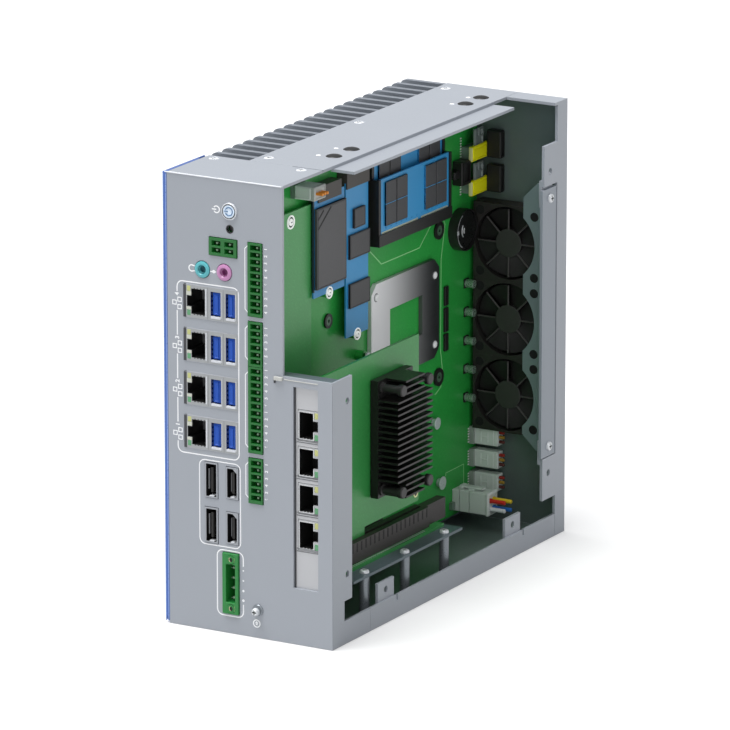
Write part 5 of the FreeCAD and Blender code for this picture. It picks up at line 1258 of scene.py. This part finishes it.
class COMPUTER_OT_network_card(bpy.types.Operator):
    """Dress the network card with its jacks, lights and black cooler"""
    bl_idname = "computer.network_card"
    bl_label = "Network card"

    def execute(self, context):
        sizes, colours = settings(context)
        wells = []
        for z in JACK_ROWS:
            wells += [((74.75, 2.6, z - 6.7), (82.45, 17, z + 6.7)), ((82.3, 2.6, z - 2.75), (85.55, 17, z + 2.75))]
        black = dict(colour=tint("141414"), rough=0.5, grain=1600, relief=0.12, drift=0.1)
        wear("nic_jack_block", finish("jack_shield", tint("B9BBBD"), zones=[(wells, black)], rough=0.32, metal=0.4,
                                      grain=1500, relief=0.06, drift=0.03))
        soft_copy("nic_bracket", 0.0002, finish("bracket_plate", tint("BDBEC1"), rough=0.34, metal=0.3, grain=1200,
                                                relief=0.06, drift=0.03))
        z, front = JACK_ROWS[0], 1.35
        rims = [block("rim", (74.2, 74.8), (front, 2.9), (z - 7.0, z + 7.0), 0.12),
                block("rim", (74.2, 82.6), (front, 2.9), (z + 6.6, z + 7.1), 0.12),
                block("rim", (74.2, 82.6), (front, 2.9), (z - 7.1, z - 6.6), 0.12)]
        edges = []
        for k in range(4):
            x = 75.3 + 1.75 * k
            edges.append(block("tooth", (x, x + 0.8), (front + 0.1, 4), (z + 6.4, z + 6.85), 0.06, 1))
            edges.append(block("tooth", (x, x + 0.8), (front + 0.1, 4), (z - 6.85, z - 6.4), 0.06, 1))
        yellow = block("lamp", (83.2, 85.9), (front + 0.1, 3), (z + 3.9, z + 6.9), 0.25, 3)
        green = block("lamp", (83.2, 85.9), (front + 0.1, 3), (z - 6.9, z - 3.9), 0.25, 3)
        frames = [block("frame", (82.5, 83.1), (front, 2.9), (z + 2.8, z + 6.9), 0.1),
                  block("frame", (82.5, 83.1), (front, 2.9), (z - 6.9, z - 2.8), 0.1),
                  block("frame", (85.55, 86.1), (front, 2.9), (z - 2.7, z + 2.7), 0.1)]
        for name, parts, slot, mat in (("jack_rims", rims + frames, "shield_steel", bright_metal()),
                                       ("jack_teeth", edges, "socket_black", black_plastic()),
                                       ("jack_yellow_lamps", [yellow], "socket_black", lamp_glass("yellow_lamp", "BFC27C")),
                                       ("jack_green_lamps", [green], "socket_black", lamp_glass("green_lamp", "5A9A6C"))):
            first = joined(name + "_1", *parts)
            keep(first, mat)
            for k in range(1, 4):
                keep(copy_of(first, (0, 0, JACK_ROWS[k] - z), name=f"{name}_{k + 1}"))
        lines = []
        for height in (102.9, 84.4, 66.0, 47.9):
            for gap in (-0.7, 0.7):
                lines.append(block("line", (73.2, 86.8), (front - 0.05, 1.7), (height + gap - 0.22, height + gap + 0.22), 0.05, 1))
        gap = block("gap", (70.4, 72.9), (1.0, 1.4), (27.5, 130.6), 0.1, 1)
        keep(gap, finish("gap_shade", tint("3F4044"), rough=0.5, grain=1500, relief=0.1))
        tab = block("tab", (61.8, 66.6), (-1.3, 1.2), (131.9, 133.9), 0.35, 3)
        shape(tab, facing((0, 0, 1)), inset(0.5), push((0, 0, -0.2)))
        hook = block("hook", (61.8, 62.4), (-1.1, 0.2), (130.4, 132.0), 0.2, 2)
        lipped = block("tab_strip", (67.0, 86.0), (-0.3, 1.2), (132.45, 133.0), 0.2, 2)
        pale = finish("tab_metal", tint("BFC0BC"), rough=0.4, metal=0.1, grain=1500, relief=0.05)
        keep(joined("bracket_tab", tab, lipped), pale)
        keep(hook, finish("hook_shade", tint("3C3D40"), rough=0.5, grain=1500, relief=0.08))
        keep(joined("bracket_lines", *lines),
             finish("line_shade", tint("6A6C70"), rough=0.45, grain=1500, relief=0.08))
        cooler = finish("cooler_coat", tint("191817"), rough=0.32, metal=0.2, grain=1100, relief=0.1, drift=0.08)
        soft_copy("nic_heat_sink", 0.00018, cooler)
        pegs = []
        for y in (76.4, 103):
            for height in (60, 112):
                profile = [(3.0, 77.9), (3.0, 78.8), (2.1, 79.2), (2.1, 87.6), (3.0, 88.0), (3.0, 90.0), (2.6, 90.5),
                           (0, 90.5)]
                pegs.append(lathe("peg", "x", (y, height), profile, 28))
        keep(joined("cooler_pegs", *pegs), finish("peg_plastic", tint("222121"), rough=0.4, grain=1400,
                                                                 relief=0.1), stands_for=("nic_push_pins",))
        hole = flat_ring("card_hole", 118.4, 46.9, 1.4, 2.2, 73.1, 0.25)
        keep(hole, finish("hole_pad", tint("F2F2B4"), rough=0.4, grain=1500, relief=0.06))
        # A black disc in the card's hole: painted shade.
        keep(lathe("card_hole_shade", "x", (118.4, 46.9), [(0, 73.14), (1.5, 73.14)], 28), black_plastic())
        return {"FINISHED"}


class COMPUTER_OT_riser(bpy.types.Operator):
    """Dress the card slot, its contacts and the metal tray below"""
    bl_idname = "computer.riser"
    bl_label = "Card slot and tray"

    def execute(self, context):
        wear("pcie_slot", finish("slot_plastic", tint("2D2827"), rough=0.45, grain=1500, relief=0.1, drift=0.08))
        soft_copy("riser_plate", 0.0003, finish("tray_metal", tint("56646A"), rough=0.34, metal=0.2, grain=1500,
                                                relief=0.02, drift=0.06, stretch=(1, 0.08, 1)))
        slits = []
        for k in range(20):
            y = 40.6 + 4.35 * k
            slits.append(block("slit", (76.5, 76.72), (y, y + 1.1), (33.4, 38.0), 0.05, 1))
        keep(joined("slot_slits", *slits), bpy.data.materials["slot_shade"])
        pads = [block("pad", (77.0, 78.6), (42 + 2.05 * k, 42.8 + 2.05 * k), (27.75, 27.9), 0.04, 1) for k in range(38)]
        keep(joined("slot_pads", *pads), bright_metal())
        return {"FINISHED"}


# Screws

def screw_head(name, axis, centre, radius, seat, face, sizes, crosses):
    """A pan head with a cross sunk into it; the head stands from its seat to its face."""
    way = 1 if face > seat else -1
    tall = abs(face - seat)
    depth = min(sizes.recess / MM, tall * 0.8)
    profile = [(0, face - way * 0.02), (radius * 0.2, face), (radius * 0.62, face), (radius * 0.9, face - way * tall * 0.25),
               (radius, face - way * tall * 0.6), (radius, seat)]
    head = lathe(name, axis, centre, profile, 32)
    centre3 = {"x": (face, *centre), "y": (centre[0], face, centre[1]), "z": (*centre, face)}[axis]
    for across in range(2):
        reach = []
        for index in range(3):
            if "xyz"[index] == axis:
                reach.append((centre3[index] - depth, centre3[index] + depth))
            else:
                first = index == [n for n in range(3) if "xyz"[n] != axis][0]
                half = radius * (0.62 if first == (across == 0) else 0.17)
                reach.append((centre3[index] - half, centre3[index] + half))
        cutter = block("cutter", *reach, 0)
        index = "xyz".index(axis)
        # Each cross also gets a block in its lower part, laid in a darker finish by the caller: painted shade in the
        # recess.
        reach[index] = sorted((face - way * depth * 0.98, face - way * depth * 0.5))
        crosses.append(block("cross", *reach, 0))
        modify(head, "BOOLEAN", operation="DIFFERENCE", object=cutter, solver="EXACT")
        bpy.data.objects.remove(cutter)
    return head


class COMPUTER_OT_screws(bpy.types.Operator):
    """Make the heads of the screws with their sunk crosses"""
    bl_idname = "computer.screws"
    bl_label = "Screws"

    def execute(self, context):
        sizes, colours = settings(context)
        heads, roof, crosses, pale_cross_shades = [], [], [], []
        for x, y in ((6.8, 35.5), (29.4, 50), (29.4, 138), (29.4, 226), (56.1, 35.5)):
            roof.append(screw_head("roof", "z", (x, y), 2.6, 227.5, 228.05, sizes, pale_cross_shades))
        rings, hollows, inlays = [], [], []
        for y, z, seat, radius in ((74.6, 157, 48.8, 3.1), (102.2, 129.7, 48.8, 3.1), (40.4, 199.7, 47.1, 3.5)):
            inlays.append(screw_head("ringed", "x", (y, z), radius * 0.52, seat, seat + 0.95, sizes, pale_cross_shades))
            inner = radius * 0.78
            ring = [(inner, seat), (inner, seat + 0.45), (inner + 0.15, seat + 0.6), (radius - 0.15, seat + 0.6),
                    (radius, seat + 0.45), (radius, seat)]
            rings.append(lathe("ring", "x", (y, z), ring, 36))
            hollows.append(lathe("hole_shade_code", "x", (y, z), [(radius * 0.5, seat + 0.12), (inner, seat + 0.12)], 36))
        heads.append(screw_head("spare", "x", (110.9, 116.2), 2.3, 49.6, 50.9, sizes, crosses))
        flats = []
        for y, z, radius in ((188.9, 62.2, 3.1), (194.4, 29.2, 3.5), (81.6, 16, 3.1)):
            flat = [(0, 46.45), (radius - 0.4, 46.45), (radius, 46.25), (radius, 45.9), (radius - 1, 45.7), (2.2, 43.6)]
            flats.append(lathe("flat", "x", (y, z), flat, 32))
        disc = finish("disc_metal", tint("C4D2CE"), rough=0.3, metal=0.2, grain=1500, relief=0.03)
        keep(joined("board_discs", *flats), disc)
        heads.append(screw_head("ground", "y", (51.6, 13.6), 2.05, -0.9, -3.4, sizes, crosses))
        washer = [(2.9, 0), (2.9, -0.5), (2.6, -0.8), (1.8, -0.8), (1.8, -1.4), (0, -1.4)]
        keep(lathe("ground_washer", "y", (52.0, 14.2), washer, 36), bpy.data.materials["post_metal"])
        for z in (49.6, 179.7):
            heads.append(screw_head("clamp", "x", (219.2, z), 2.35, 94.0, 95.4, sizes, crosses))
        for y in (46, 86, 126):
            heads.append(screw_head("tray", "z", (85.3, y), 2.4, 26.2, 27.9, sizes, crosses))
        keep(joined("screw_heads", *heads), screw_metal(), stands_for=("screws",))
        keep(joined("roof_screws", *roof),
             finish("roof_screw_metal", tint("E6E8EB"), rough=0.35, metal=0.1, grain=1800, relief=0.05))
        # The rings are white; their faint glow is painted light.
        white = finish("ring_white_painted_glow", tint("F2F5F2"), rough=0.4, grain=1500, relief=0.04, glow=0.28)
        keep(joined("screw_rings", *rings, *inlays), white)
        shade = finish("hollow_shade", tint("39423D"), rough=0.5, grain=1500, relief=0.05)
        keep(joined("screw_hollows", *hollows, *crosses), shade)
        keep(joined("roof_crosses", *pale_cross_shades),
             finish("cross_shade", tint("8F949A"), rough=0.5, grain=1500, relief=0.05))
        return {"FINISHED"}


# Stage

class COMPUTER_OT_stage(bpy.types.Operator):
    """Set the pale floor, the soft light and the camera"""
    bl_idname = "computer.stage"
    bl_label = "Stage"

    def execute(self, context):
        scene = context.scene
        free()
        bpy.ops.mesh.primitive_plane_add(size=14, location=(0, 0, cad_box[0][2] - 0.0002))
        floor = bpy.context.object
        floor.name = "floor"
        settle(floor)
        mat = finish("floor_white", (0.6, 0.6, 0.6), rough=0.75, grain=300, relief=0.0, drift=0.01)
        tree = mat.node_tree
        out = tree.nodes["Material Output"]
        plain = out.inputs[0].links[0].from_socket
        rays = add_node(tree, "LightPath")
        glow = add_node(tree, "Emission", Color=(1, 1, 1, 1))
        tree.links.new(grey(tree, "MULTIPLY", rays.outputs["Is Camera Ray"], 0.34), glow.inputs["Strength"])
        both = add_node(tree, "AddShader")
        tree.links.new(plain, both.inputs[0])
        tree.links.new(glow.outputs[0], both.inputs[1])
        tree.links.new(both.outputs[0], out.inputs[0])
        dress(floor, mat)

        world = bpy.data.worlds.new("studio")
        scene.world = world
        world.use_nodes = True
        tree = world.node_tree
        tree.nodes.clear()
        rays = add_node(tree, "LightPath")
        seen = grey(tree, "MAXIMUM", rays.outputs["Is Camera Ray"], rays.outputs["Is Transmission Ray"])
        sky = add_node(tree, "Background")
        sky.inputs[0].default_value = (0.97, 0.985, 1.0, 1)
        sky.inputs[1].default_value = 0.49
        white = add_node(tree, "Background")
        white.inputs[0].default_value = (1, 1, 1, 1)
        white.inputs[1].default_value = 1.0
        mix = add_node(tree, "MixShader")
        for socket, value in zip(mix.inputs, (seen, sky.outputs[0], white.outputs[0])):
            tree.links.new(value, socket)
        tree.links.new(mix.outputs[0], add_node(tree, "OutputWorld").inputs[0])

        lights = []
        for name, toward, strength, spread in (("key", (-0.3, -0.3, 1.6), 3.7, 35), ("side", (1.0, -1.4, 0.9), 0.3, 40)):
            free()
            bpy.ops.object.light_add(type="SUN", location=Vector(toward))
            lamp = bpy.context.object
            lamp.name = name + "_light"
            lamp.data.energy = strength
            lamp.data.angle = math.radians(spread)
            lamp.rotation_euler = Vector(toward).to_track_quat("Z", "Y").to_euler()
            lights.append(lamp)

        free()
        bpy.ops.object.camera_add(location=(1.63784, -2.85262, 0.99604))
        camera = bpy.context.object
        look = Matrix(((0.8668, -0.1297, 0.4815), (0.4986, 0.2255, -0.8369), (0, 0.9655, 0.2602)))
        camera.rotation_euler = look.to_euler()
        camera.data.sensor_width = 36
        camera.data.lens = 336.8
        camera.data.clip_end = 30
        scene.camera = camera
        scene.view_settings.view_transform = "Standard"
        return {"FINISHED"}


STEPS = (COMPUTER_OT_stage, COMPUTER_OT_sheets, COMPUTER_OT_finned_side, COMPUTER_OT_printing, COMPUTER_OT_port_stacks,
         COMPUTER_OT_video_stacks, COMPUTER_OT_headers, COMPUTER_OT_buttons, COMPUTER_OT_main_board,
         COMPUTER_OT_processor, COMPUTER_OT_memory, COMPUTER_OT_small_cards, COMPUTER_OT_plugs, COMPUTER_OT_fans,
         COMPUTER_OT_network_card, COMPUTER_OT_riser, COMPUTER_OT_screws)


class COMPUTER_PT_pieces(bpy.types.Panel):
    """The steps that dress the computer, with its sizes and colours"""
    bl_label = "Open computer"
    bl_idname = "COMPUTER_PT_pieces"
    bl_space_type = "VIEW_3D"
    bl_region_type = "UI"
    bl_category = "Computer"

    def draw(self, context):
        layout = self.layout
        for group in (context.scene.computer_sizes, context.scene.computer_colours):
            column = layout.column(align=True)
            for name in group.__annotations__:
                column.prop(group, name)
        column = layout.column(align=True)
        for step in STEPS:
            column.operator(step.bl_idname)


CLASSES = (ComputerSizes, ComputerColours, *STEPS, COMPUTER_PT_pieces)


def register():
    for cls in CLASSES:
        bpy.utils.register_class(cls)
    bpy.types.Scene.computer_sizes = PointerProperty(type=ComputerSizes)
    bpy.types.Scene.computer_colours = PointerProperty(type=ComputerColours)


def unregister():
    del bpy.types.Scene.computer_sizes
    del bpy.types.Scene.computer_colours
    for cls in reversed(CLASSES):
        bpy.utils.unregister_class(cls)


def main():
    register()
    bpy.ops.computer.stage()
    bpy.ops.computer.sheets()
    bpy.ops.computer.finned_side()
    bpy.ops.computer.printing()
    bpy.ops.computer.port_stacks()
    bpy.ops.computer.video_stacks()
    bpy.ops.computer.headers()
    bpy.ops.computer.buttons()
    bpy.ops.computer.main_board()
    bpy.ops.computer.processor()
    bpy.ops.computer.memory()
    bpy.ops.computer.small_cards()
    bpy.ops.computer.plugs()
    bpy.ops.computer.fans()
    bpy.ops.computer.network_card()
    bpy.ops.computer.riser()
    bpy.ops.computer.screws()
    free()


if __name__ == "__main__":
    main()
